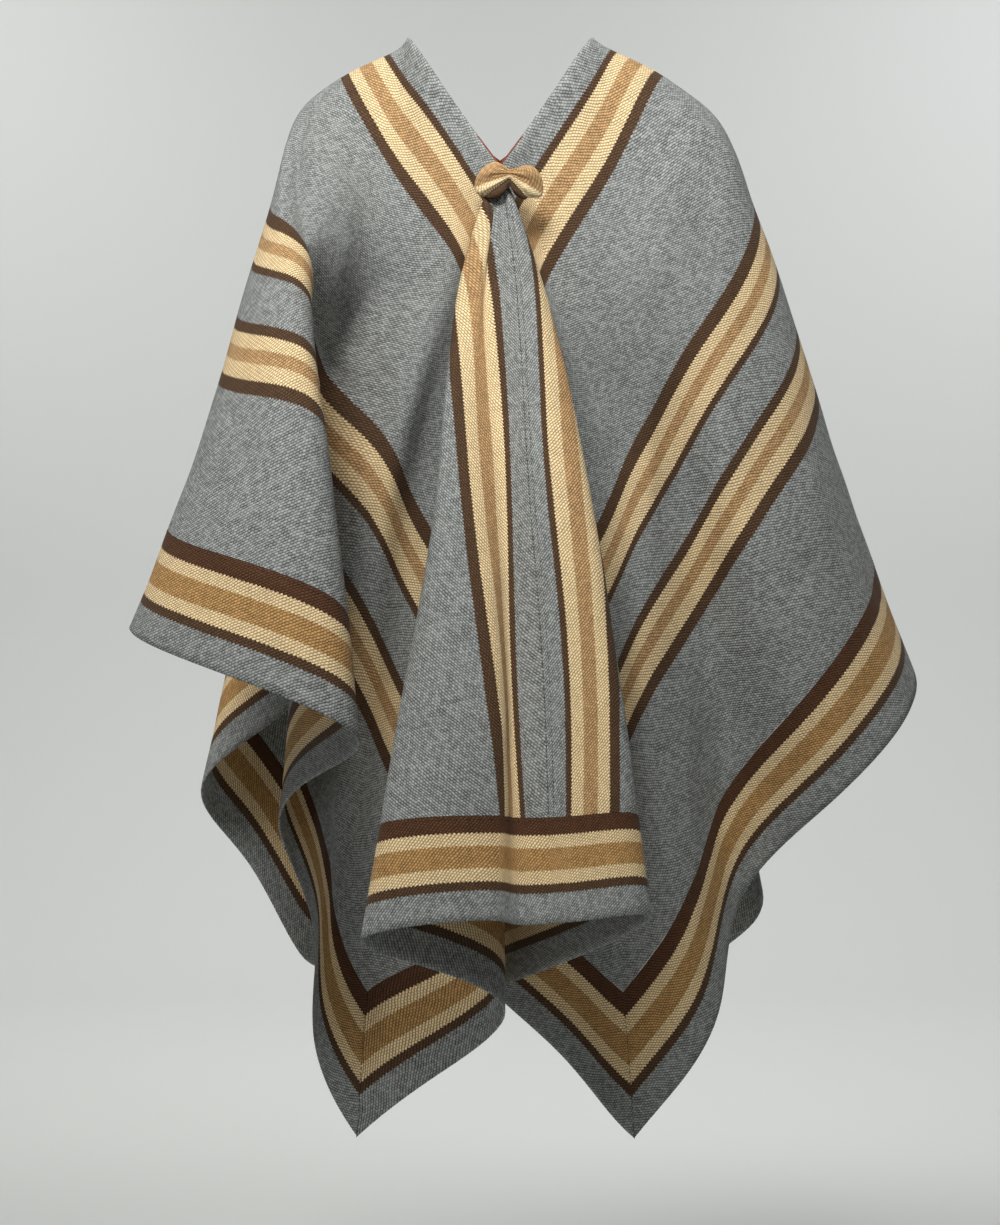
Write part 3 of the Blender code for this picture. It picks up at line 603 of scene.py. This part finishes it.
def woolMaterial(name, stripes, kind, look):
    material, tree, shader = newMaterial(name)
    uv = added(tree, "ShaderNodeUVMap", uv_map="flatCloth").outputs["UV"]
    parts = added(tree, "ShaderNodeSeparateXYZ", {"Vector": uv}).outputs
    x, y = Signal(parts["X"]), Signal(parts["Y"])
    wide, long = x.maths("ABSOLUTE"), y.maths("ABSOLUTE")
    across, along, line, edge = x, y, None, None
    if kind == "panel":
        across = line = wide
        edge = wide + long.maths("GREATER_THAN", cut["halfSlit"])
    elif kind == "band":
        overWide, overLong = wide - innerWidth, long - innerLength
        across = overWide.maths("MAXIMUM", overLong)
        onSide = overWide.maths("GREATER_THAN", overLong)
        along = onSide * y + (1.0 - onSide) * x
        line = (overWide - overLong).maths("ABSOLUTE")
        edge = cut["bandWidth"] - across
    place, = signals(tree, toothedEdge, ("Place",), {
        "Across": across, "Along": along, "Pitch": look["toothPitch"], "Depth": look["toothDepth"]})
    ramp = stripeRamp(tree, stripes, place)
    fibre, cloud = signals(tree, heatheredWool, ("Fibre", "Cloud"), {"Vector": uv, "Grain": look["grain"]})
    height, shade = signals(tree, twillWeave, ("Height", "Shade"), {
        "Across": across, "Along": cloud.maths("MULTIPLY_ADD", look["drift"], along), "Wale": look["wale"]})
    mottle = fibre * look["fibreShare"] + shade * (1 - look["fibreShare"])
    heather = (mottle - 0.5) * (Signal(ramp.outputs["Alpha"]) * look["heather"])
    relief = (height - weave["middleHeight"]) * look["waleTone"]
    tone = (heather + 1.0) + ((cloud - 0.5) * look["cloud"] + relief)
    if line is not None:  # the sewn line is a little darker
        seam = mathNode(tree, "SUBTRACT", 1.0, line / look["seamWidth"], clamp=True)
        tone = tone - seam * look["seamTone"]
    if edge is not None:
        worn, = signals(tree, rubbedEdge, ("Wear",), {"Distance": edge, "Vector": uv})
        tone = tone + worn * look["wear"]
    colour = added(tree, "ShaderNodeVectorMath", {0: ramp.outputs["Color"], "Scale": tone}, operation="SCALE")
    bump = added(tree, "ShaderNodeBump", {
        "Strength": look["bumpStrength"], "Distance": look["bump"], "Height": height + fibre * 0.5})
    fill(shader, {
        "Base Color": colour.outputs["Vector"], "Normal": bump.outputs["Normal"],
        "Roughness": height.maths("MULTIPLY_ADD", -0.08, look["roughness"]), "Specular IOR Level": 0.25,
        "Sheen Weight": look["sheen"], "Sheen Roughness": 0.45, "Sheen Tint": (0.96, 0.94, 0.90, 1)})
    return material


clothLook = {
    "toothPitch": 0.0038, "toothDepth": 0.0008, "wale": 0.0026, "grain": 0.0012, "drift": 0.004,
    "fibreShare": 0.35, "heather": 0.95, "cloud": 0.07, "waleTone": 1.4, "seamTone": 0.08,
    "seamWidth": 0.0013, "wear": 0.25, "roughness": 0.93, "bump": 0.0006, "bumpStrength": 0.5, "sheen": 0.06,
}
bandLook = dict(clothLook, toothPitch=0.0042, toothDepth=0.0009)
bowLook = dict(clothLook, toothPitch=0.0030, toothDepth=0.0006, wale=0.0025, heather=0.8, waleTone=0.85)
panelWool = woolMaterial("twillPanelWool", panelStripes, "panel", clothLook)
bandWool = woolMaterial("twillBandWool", bandStripes, "band", bandLook)
bowWool = woolMaterial("gatheredBowWool", bowStripes, "bow", bowLook)
print("wools dyed:", ", ".join(wool))


def placedObject(name, data):
    thing = bpy.data.objects.new(name, data)
    bpy.context.scene.collection.objects.link(thing)
    return thing


def finishPiece(name, points, faces, places, material):  # one closed mesh with the flat cloth as its UV map
    surface = bpy.data.meshes.new(name)
    surface.from_pydata([tuple(point) for point in points], [], [tuple(face) for face in faces])
    layer = surface.uv_layers.new(name="flatCloth")
    corner = np.empty(len(surface.loops), dtype=np.int32)
    surface.loops.foreach_get("vertex_index", corner)
    layer.data.foreach_set("uv", np.asarray(places, dtype=np.float32)[corner].ravel())
    shape = bmesh.new()
    shape.from_mesh(surface)
    bmesh.ops.remove_doubles(shape, verts=shape.verts, dist=0.000004)
    bmesh.ops.dissolve_degenerate(shape, edges=shape.edges, dist=0.000002)
    bmesh.ops.recalc_face_normals(shape, faces=shape.faces)
    shape.to_mesh(surface)
    shape.free()
    surface.shade_smooth()
    surface.set_sharp_from_angle(angle=math.radians(70))
    surface.materials.append(material)
    return placedObject(name, surface)


def sheetFaces(count, depth):  # faces of a grid's outer and inner side, and the loop round its edge
    ids = np.arange(count * depth).reshape(count, depth)
    outer = np.stack([ids[:-1, :-1], ids[:-1, 1:], ids[1:, 1:], ids[1:, :-1]], axis=-1).reshape(-1, 4)
    loop = np.concatenate([ids[:, 0], ids[-1, 1:], ids[-2::-1, -1], ids[0, -2:0:-1]])
    return [outer, outer[:, ::-1] + count * depth], loop


wallShape = {"seamDip": 0.22, "seamReach": 0.0035, "hemRound": 0.75}  # share, metres, share of half thickness
clothEdges = {  # index of the edge, and of what is next to it
    "first": (np.s_[0, :], np.s_[1, :]), "last": (np.s_[-1, :], np.s_[-2, :]),
    "inner": (np.s_[:, 0], np.s_[:, 1]), "outer": (np.s_[:, -1], np.s_[:, -2]),
}


def clothPiece(piece):
    first, last = (columnAt[end] for end in piece["ends"])
    count = len(columns)
    last += 0 if last > first else count  # goes round past the last column
    chosen = np.arange(first, last + 1) % count
    rows = slice(piece["rows"][0], piece["rows"][1] + 1)
    middle, out, place = cloth[chosen, rows].copy(), normals[chosen, rows], flat[chosen, rows]
    half = np.full(middle.shape[:2], cut["thickness"] / 2)
    beyond = np.zeros_like(middle)
    for label, (edge, inside) in clothEdges.items():
        step = unit(middle[edge] - middle[inside])
        if label not in piece["sewn"]:
            beyond[edge] += step * (wallShape["hemRound"] * cut["thickness"] / 2)
            continue
        start = middle[edge]
        start = start[None, :] if label in ("first", "last") else start[:, None]
        away = np.linalg.norm(middle - start, axis=-1)
        half *= 1 - wallShape["seamDip"] * np.exp(-(away / wallShape["seamReach"]) ** 2)
        middle[edge] -= step * cut["seamGap"] / 2
    faces, loop = sheetFaces(*half.shape)
    rim = np.arange(len(loop)) + 2 * half.size
    follow = np.roll(np.arange(len(loop)), -1)
    faces += [np.stack([loop, rim, rim[follow], loop[follow]], axis=-1),
              np.stack([rim, loop + half.size, loop[follow] + half.size, rim[follow]], axis=-1)]
    points = np.concatenate([(middle + out * half[..., None]).reshape(-1, 3),
                             (middle - out * half[..., None]).reshape(-1, 3),
                             (middle + beyond).reshape(-1, 3)[loop]])
    place = place.reshape(-1, 2)
    places = np.concatenate([place, place, place[loop]])
    return finishPiece(piece["name"], points, np.concatenate(faces), places, piece["wool"])


mitres = ("frontRight", "frontLeft", "backLeft", "backRight")  # by the wearer's sides
columnAt = {name: foldColumn[k] for name, k in zip(mitres, (0, frontRight, backRight, backLeft))}
for k, fold in enumerate(folds):
    if fold.onHem and fold.place == 0:
        columnAt[fold.edge + "Middle"] = foldColumn[k]
lastRow = len(levels) - 1
panels = ("pieceLeftPanel", "pieceRightPanel")
panelCut = {  # flat width and length, area if it isn't their product, what the piece hangs from
    "flat": (innerWidth, 2 * innerLength), "area": None, "over": (),
    "sewn": ("first", "last", "outer"), "rows": (0, seamRow), "wool": panelWool,
}
hemCut = {
    "flat": (2 * cut["halfWidth"], cut["bandWidth"]), "over": panels,
    "area": (cut["halfWidth"] + innerWidth) * cut["bandWidth"],
    "sewn": ("first", "last", "inner"), "rows": (seamRow, lastRow), "wool": bandWool,
}
sideCut = dict(hemCut, flat=(2 * cut["halfLength"], cut["bandWidth"]),
               area=(cut["halfLength"] + innerLength) * cut["bandWidth"])
pieces = {
    "panel_left": dict(panelCut, name="pieceLeftPanel", ends=("frontMiddle", "backMiddle")),
    "panel_right": dict(panelCut, name="pieceRightPanel", ends=("backMiddle", "frontMiddle")),
    "border_front": dict(hemCut, name="pieceFrontBand", ends=("frontRight", "frontLeft")),
    "border_side_left": dict(sideCut, name="pieceLeftBand", ends=("frontLeft", "backLeft"), over=panels[:1]),
    "border_back": dict(hemCut, name="pieceBackBand", ends=("backLeft", "backRight")),
    "border_side_right": dict(sideCut, name="pieceRightBand", ends=("backRight", "frontRight"),
                              over=panels[1:]),
}
dressed = {node: clothPiece(piece) for node, piece in pieces.items()}
print("cloth pieces made:", len(dressed))

bow = {  # wings of gathered cloth, in mm from the pinch: across, height, for each share from top to bottom
    "centre": (0.0096, -0.1424, -0.171),
    "shares": (0, 0.08, 0.2, 0.33, 0.45, 0.57, 0.68, 0.8, 0.9, 1),
    "rightWing": ((-11, 11.4), (-16, 12.2), (-26.5, 7.5), (-34, -3), (-35.3, -12),
                  (-32.5, -18.5), (-26.5, -21.5), (-20.5, -25.4), (-11, -24.8), (-4.8, -19.5)),
    "leftWing": ((14, 7.6), (20, 8.9), (28.5, 4.5), (33.8, -7), (33.6, -18.5), (28.5, -23), (18.8, -24),
                 (15, -26), (7, -22.5), (2.2, -15)),
    "pinch": ((0, 0.45, 0.68, 1), (4.2, -1.8, -4.6, -12.4)),  # shares, heights
    "fullness": 5.2,
    "pinched": 1.8,
    "setBack": 11.0,
    "rolls": ((0.27, 0.17, 0.10, 1.0), (0.60, 0.09, 0.045, 0.72), (0.86, 0.10, 0.08, 0.85)),
    "gathers": ((0.06, 0.020, 0.7), (0.15, 0.026, 1.0), (0.245, 0.022, 0.8), (0.35, 0.026, 1.0),
                (0.52, 0.020, 0.8), (0.63, 0.022, 0.6), (0.76, 0.024, 0.9), (0.90, 0.022, 0.7)),
    "gatherDepth": 0.85, "gatherReach": 0.62, "wander": 0.02,
    "spread": 0.85, "fullAt": 0.55, "flatShare": 0.28, "endShare": 0.035, "backDepth": 1.2,
    "sideSteps": 36, "roundSteps": 64, "clothDepth": 0.036, "clothReach": 0.034,
}  # a roll is a share, how far it swells above and below, how full; a gather is a share, half width and depth


def makeBow():
    shares = np.array(bow["shares"])
    v = np.linspace(0, 1, bow["roundSteps"])
    run = np.concatenate([-np.linspace(1, 0, bow["sideSteps"], endpoint=False),
                          np.linspace(0, 1, bow["sideSteps"] + 1)])
    rims = {}
    for key in ("rightWing", "leftWing"):
        points = np.array(bow[key], float)
        rims[key] = cubicRead(shares, points, cubicSlopes(shares, points), v)
    pinch = np.stack([np.zeros_like(v), np.interp(v, *bow["pinch"])], axis=-1)
    front = np.zeros((len(run), len(v), 3))
    back = np.zeros_like(front)
    place = np.zeros((len(run), len(v), 2))
    for k, s in enumerate(run):
        rim = rims["rightWing" if s < 0 else "leftWing"]
        reach = abs(s)
        flatPoint = pinch + (rim - pinch) * (reach ** bow["spread"])
        full = bow["pinched"] + (bow["fullness"] - bow["pinched"]) * min(reach / bow["fullAt"], 1) ** 1.2
        rounded = max(1 - reach ** 6, 0) ** 0.5
        roll = np.zeros_like(v)
        for share, above, below, height in bow["rolls"]:
            side = np.where(v < share, above, below)
            roll = np.maximum(roll, height * np.exp(-((v - share) / side) ** 2 / 1.6))
        gather = np.zeros_like(v)
        for n, (share, half, depth) in enumerate(bow["gathers"]):
            wander = share + bow["wander"] * math.sin(5 * s + 1.9 * n)
            length = bow["gatherReach"] * (0.75 + 0.25 * math.sin(2.3 * n + (1 if s < 0 else 2)))
            gather -= depth * np.exp(-((v - wander) / half) ** 2) * math.exp(-(reach / length) ** 4)
        ends = np.clip(np.minimum(v, 1 - v) / bow["endShare"], 0, 1) ** 0.5
        drawnIn = bow["gatherDepth"] * gather * min(reach / 0.12 + 0.5, 1)
        rolled = bow["flatShare"] + (1 - bow["flatShare"]) * roll
        height = (full * rounded * rolled + drawnIn) * ends
        away = bow["setBack"] * (np.abs(flatPoint[:, 0]) / 34) ** 1.7
        wide, high = flatPoint.T
        front[k] = np.stack([wide, away - np.maximum(height, 0), high], axis=-1)
        back[k] = np.stack([wide, away + bow["backDepth"] * ends * rounded, high], axis=-1)
        place[k] = np.stack([v * bow["clothDepth"], np.full_like(v, s * bow["clothReach"])], axis=-1)
    faces, loop = sheetFaces(len(run), len(v))
    follow, behind = np.roll(loop, -1), len(run) * len(v)
    faces.append(np.stack([loop, loop + behind, follow + behind, follow], axis=-1))
    points = np.concatenate([front.reshape(-1, 3), back.reshape(-1, 3)]) / 1000 + np.array(bow["centre"])
    places = np.concatenate([place.reshape(-1, 2)] * 2)
    return finishPiece("pieceNeckBow", points, np.concatenate(faces), places, bowWool)


dressed["neck_bow"] = makeBow()
print("bow gathered")


stitchSizes = ("Pitch", "Length", "Width", "Height", "Unevenness")


def stitchTree():  # small thread floats along a line, each a little different
    geometry = "NodeSocketGeometry"
    tree, given, result = groupOf("sewnStitches", {
        "Geometry": geometry, **dict.fromkeys(stitchSizes, 0.0), "Seed": 7, "Thread": "NodeSocketMaterial"},
        ("Geometry",), "GeometryNodeTree", geometry)
    curve = added(tree, "GeometryNodeMeshToCurve", {"Mesh": given["Geometry"]})
    spaced = added(tree, "GeometryNodeResampleCurve", mode="LENGTH")
    fill(spaced, {"Curve": curve.outputs["Curve"], "Length": given["Pitch"]})
    bead = added(tree, "GeometryNodeMeshUVSphere", {"Segments": 6, "Rings": 4, "Radius": 0.5})
    size = added(tree, "ShaderNodeCombineXYZ", dict(zip("XYZ", (given[key] for key in stitchSizes[1:4]))))
    shaped = added(tree, "GeometryNodeTransform", {
        "Geometry": bead.outputs["Mesh"], "Scale": size.outputs["Vector"]})
    tangent = added(tree, "GeometryNodeInputTangent")
    up = added(tree, "GeometryNodeInputNamedAttribute", {"Name": "up"}, data_type="FLOAT_VECTOR")
    along = added(tree, "FunctionNodeAlignRotationToVector", {"Vector": tangent.outputs["Tangent"]}, axis="X")
    upright = added(tree, "FunctionNodeAlignRotationToVector", {
        "Rotation": along.outputs["Rotation"], "Vector": up.outputs["Attribute"]}, axis="Z", pivot_axis="X")
    uneven = added(tree, "FunctionNodeRandomValue", {  # inputs 2 and 3 are its least and most
        2: 1.0 - given["Unevenness"], 3: given["Unevenness"] + 1.0, "Seed": given["Seed"]}, data_type="FLOAT")
    copies = added(tree, "GeometryNodeInstanceOnPoints", {
        "Points": spaced.outputs["Curve"], "Instance": shaped.outputs["Geometry"],
        "Rotation": upright.outputs["Rotation"], "Scale": uneven.outputs[1]})
    real = added(tree, "GeometryNodeRealizeInstances", {"Geometry": copies.outputs["Instances"]})
    coloured = added(tree, "GeometryNodeSetMaterial", {
        "Geometry": real.outputs["Geometry"], "Material": given["Thread"]})
    fill(result, {"Geometry": coloured.outputs["Geometry"]})
    return tree


def mixedColour(tree, factor, low, high):
    mixed = added(tree, "ShaderNodeMix", data_type="RGBA")
    fill(mixed, {"Factor": factor, 6: linear(low), 7: linear(high)})  # inputs 6 and 7 are its two colours
    return mixed.outputs[2]


def threadMaterial(name, colour, dark):  # twisted thread, from its Object coordinates
    material, tree, shader = newMaterial(name)
    place = added(tree, "ShaderNodeTexCoord").outputs["Object"]
    fibre, cloud = signals(tree, heatheredWool, ("Fibre", "Cloud"), {
        "Vector": place, "Grain": 0.0012, "Cloud": 0.02})
    bump = added(tree, "ShaderNodeBump", {"Strength": 0.5, "Distance": 0.0003, "Height": fibre})
    fill(shader, {
        "Base Color": mixedColour(tree, fibre, dark, colour), "Normal": bump.outputs["Normal"],
        "Roughness": cloud.maths("MULTIPLY_ADD", 0.1, 0.8), "Sheen Weight": 0.15})
    return material


def lineAt(columnNumbers, rows):  # points and normals in the middle of the cloth; a row may be in between
    rows = np.asarray(rows, float)
    low = np.minimum(rows, lastRow - 1).astype(int)
    share = (rows - low)[:, None]
    return [grid[columnNumbers, low] * (1 - share) + grid[columnNumbers, low + 1] * share
            for grid in (cloth, normals)]


def besideSeam(middleColumn, offset, rows):  # a line beside the middle seam, offset metres to one side of it
    near = (middleColumn + np.arange(-24, 25)) % len(columns)  # enough columns to reach the offset
    points, ups = [], []
    for row in rows:
        places = flat[near, row, 0]
        order = np.argsort(places)
        for found, grid in ((points, cloth), (ups, normals)):
            values = grid[near, row][order].T
            found.append([np.interp(offset, places[order], axis) for axis in values])
    return np.array(points), np.array(ups)


def sewn(name, lines, settings, thread):  # one mesh of stitches from several lines
    points, edges, ups = [], [], []
    for line, up in lines:
        edges += [(len(points) + k, len(points) + k + 1) for k in range(len(line) - 1)]
        points += [tuple(point) for point in line + unit(up) * (cut["thickness"] / 2 + settings["lift"])]
        ups.append(up)
    path = bpy.data.meshes.new(name)
    path.from_pydata(points, edges, [])
    path.attributes.new("up", "FLOAT_VECTOR", "POINT").data.foreach_set("vector", np.concatenate(ups).ravel())
    piece = placedObject(name, path)
    modifier = piece.modifiers.new("stitches", "NODES")
    modifier.node_group = stitches
    sockets = {item.name: item.identifier for item in stitches.interface.items_tree
               if item.item_type == "SOCKET" and item.in_out == "INPUT"}
    inputs = dict(zip(stitchSizes, settings["sizes"]), Seed=settings["seed"], Thread=thread)
    for label, value in inputs.items():
        modifier[sockets[label]] = value
    graph = bpy.context.evaluated_depsgraph_get()
    piece.update_tag()
    made = bpy.data.meshes.new_from_object(piece.evaluated_get(graph))
    piece.modifiers.clear()
    piece.data = made
    made.name = name
    made.shade_smooth()
    return piece


stitches = stitchTree()
greyThread = threadMaterial("greyThread", (120, 122, 120), (52, 54, 54))
brownThread = threadMaterial("brownThread", (92, 66, 50), (44, 30, 24))
rustThread = threadMaterial("rustBinding", (168, 84, 52), (110, 46, 30))

seamSewing = {  # sizes go with stitchSizes; offsets are metres from the middle seam
    "lift": 0.0001, "sizes": (0.0046, 0.0026, 0.0011, 0.0007, 0.22), "seed": 11, "offsets": (-0.0003, 0.0072),
}
bandSewing = {
    "lift": 0.0001, "sizes": (0.0052, 0.0030, 0.0009, 0.0006, 0.25), "seed": 23, "inFromSeam": 0.0032,
}
panelLines = [besideSeam(columnAt[middle], offset, range(2, seamRow + 1))
              for middle in ("frontMiddle", "backMiddle") for offset in seamSewing["offsets"]]
seamStitches = sewn("stitchesMiddleSeam", panelLines, seamSewing, greyThread)
bandRow = seamRow + bandSewing["inFromSeam"] / cut["bandWidth"] * bandRows
around = np.arange(len(columns) + 1) % len(columns)
mitreRows = range(seamRow, lastRow + 1)
bandLines = [lineAt(around, [bandRow] * len(around))]
bandLines += [lineAt([columnAt[name]] * len(mitreRows), mitreRows) for name in mitres]
bandStitches = sewn("stitchesBand", bandLines, bandSewing, brownThread)

binding = {  # the thread bound round the neck slit; it shows at the ends and is turned under elsewhere
    "across": 0.0012, "deep": 0.0013, "sides": 8, "shown": 0.045, "turnedOver": 0.03, "under": 0.0016,
    "inward": (0.0004, 0.0016),
}


def makeBinding():
    order = np.concatenate([np.arange(columnAt["frontLeft"], columnAt["backLeft"] + 1),
                            np.arange(columnAt["backRight"], len(columns))])
    centre, up = cloth[order, 0], normals[order, 0]
    inward = unit(cloth[order, 1] - centre)
    toEnd = cut["halfSlit"] - np.abs(flat[order, 0, 1])
    hidden = np.clip((toEnd - binding["shown"]) / binding["turnedOver"], 0, 1)[:, None]
    least, more = binding["inward"]
    centre = centre + inward * (least + more * hidden) - up * binding["under"] * hidden
    turns = np.linspace(0, 2 * math.pi, binding["sides"], endpoint=False)
    rings = (centre[:, None] + up[:, None] * np.sin(turns)[None, :, None] * binding["deep"]
             + inward[:, None] * np.cos(turns)[None, :, None] * binding["across"])
    ids = np.arange(rings.shape[0] * rings.shape[1]).reshape(rings.shape[:2])
    after, beside = np.roll(ids, -1, axis=0), np.roll(ids, -1, axis=1)
    faces = np.stack([ids, beside, np.roll(beside, -1, axis=0), after], axis=-1).reshape(-1, 4)
    places = np.repeat(flat[order, 0], binding["sides"], axis=0)
    return finishPiece("bindingNeckSlit", rings.reshape(-1, 3), faces, places, rustThread)


slitBinding = makeBinding()
print("sewing done:", len(seamStitches.data.polygons) + len(bandStitches.data.polygons), "faces of thread")

for piece in list(dressed.values()) + [seamStitches, bandStitches, slitBinding]:
    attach(piece, "root")
for node, piece in dressed.items():
    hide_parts(node)
for node in sorted(pieces, key=lambda name: ("panel" not in name, "side" in name)):  # panels, hems, sides
    piece = pieces[node]

studio = {
    "backdrop": (224, 226, 224), "shade": 3, "floorHeight": -1.62, "floorStart": -4.5, "wallStart": 3.3,
    "wallTop": 4.0, "sweep": 1.1, "halfWidth": 6, "world": 0.03,
    "lights": (  # name, place, aimed at, width, height, watts, colour, spread in degrees
        ("softAbove", (-0.6, -1.7, 2.3), (0, 0, -0.1), 1.4, 1.0, 34, (1.0, 0.985, 0.96), 100),
        ("softFrontRight", (1.1, -2.0, 1.0), (0.2, -0.1, -0.05), 0.9, 0.7, 1.1, (0.98, 0.99, 1.0), 50),
        ("softLeftLow", (-1.7, -1.6, -0.7), (-0.2, -0.1, -0.5), 1.0, 1.0, 0.8, (1.0, 0.985, 0.96), 120),
        ("washLeft", (-2.2, 2.3, 1.6), (-0.6, 4.4, -0.3), 1.8, 1.8, 49, (1.0, 0.995, 0.98), 180),
        ("washRight", (2.2, 2.3, 1.6), (0.6, 4.4, -0.3), 1.8, 1.8, 49, (0.98, 0.99, 1.0), 180),
        ("washLow", (0, 1.3, -0.4), (0, 3.0, -1.5), 3.0, 0.5, 2.5, (1.0, 1.0, 0.99), 120),
    ),
}


def makeBackdrop():  # floor and wall in one sweep
    floor, start, sweep = (studio[key] for key in ("floorHeight", "wallStart", "sweep"))
    profile = [(studio["floorStart"], floor), (start, floor)]
    profile += [(start + sweep * math.sin(angle), floor + sweep * (1 - math.cos(angle)))
                for angle in np.linspace(0, math.pi / 2, 25)[1:]]
    profile.append((start + sweep, studio["wallTop"]))
    surface = bpy.data.meshes.new("backdropSweep")
    points = [(side * studio["halfWidth"], y, z) for y, z in profile for side in (-1, 1)]
    faces = [(k, k + 1, k + 3, k + 2) for k in range(0, 2 * len(profile) - 2, 2)]
    surface.from_pydata(points, [], faces)
    surface.shade_smooth()
    paper, tree, shader = newMaterial("palePaper")
    place = added(tree, "ShaderNodeTexCoord").outputs["Object"]
    noise = added(tree, "ShaderNodeTexNoise", {"Scale": 0.7, "Vector": place})
    darker = [value - studio["shade"] for value in studio["backdrop"]]
    fill(shader, {"Base Color": mixedColour(tree, noise.outputs["Fac"], darker, studio["backdrop"]),
                  "Roughness": 0.95, "Specular IOR Level": 0.1})
    surface.materials.append(paper)
    placedObject("backdropSweep", surface)


makeBackdrop()
for name, place, target, wide, high, watts, colour, spread in studio["lights"]:
    lamp = bpy.data.lights.new(name, "AREA")
    lamp.spread = math.radians(spread)
    lamp.shape, lamp.size, lamp.size_y, lamp.energy, lamp.color = "RECTANGLE", wide, high, watts, colour
    holder = placedObject(name, lamp)
    holder.location = place
    holder.rotation_euler = (Vector(target) - Vector(place)).to_track_quat("-Z", "Y").to_euler()
world = bpy.data.worlds.new("softRoom")
bpy.context.scene.world = world
bpy.context.scene.view_settings.view_transform = "Standard"  # wool keeps its own depth of colour
world.use_nodes = True
fill(world.node_tree.nodes["Background"], {"Color": (1.0, 0.99, 0.97, 1), "Strength": studio["world"]})

view = {"place": (0, -2.3, -0.614), "lens": 62.86, "sensor": 36}
camera = placedObject("camera", bpy.data.cameras.new("camera"))
camera.data.lens, camera.data.sensor_width = view["lens"], view["sensor"]
camera.location, camera.rotation_euler = view["place"], (math.pi / 2, 0, 0)
bpy.context.scene.camera = camera

print("scene ready")
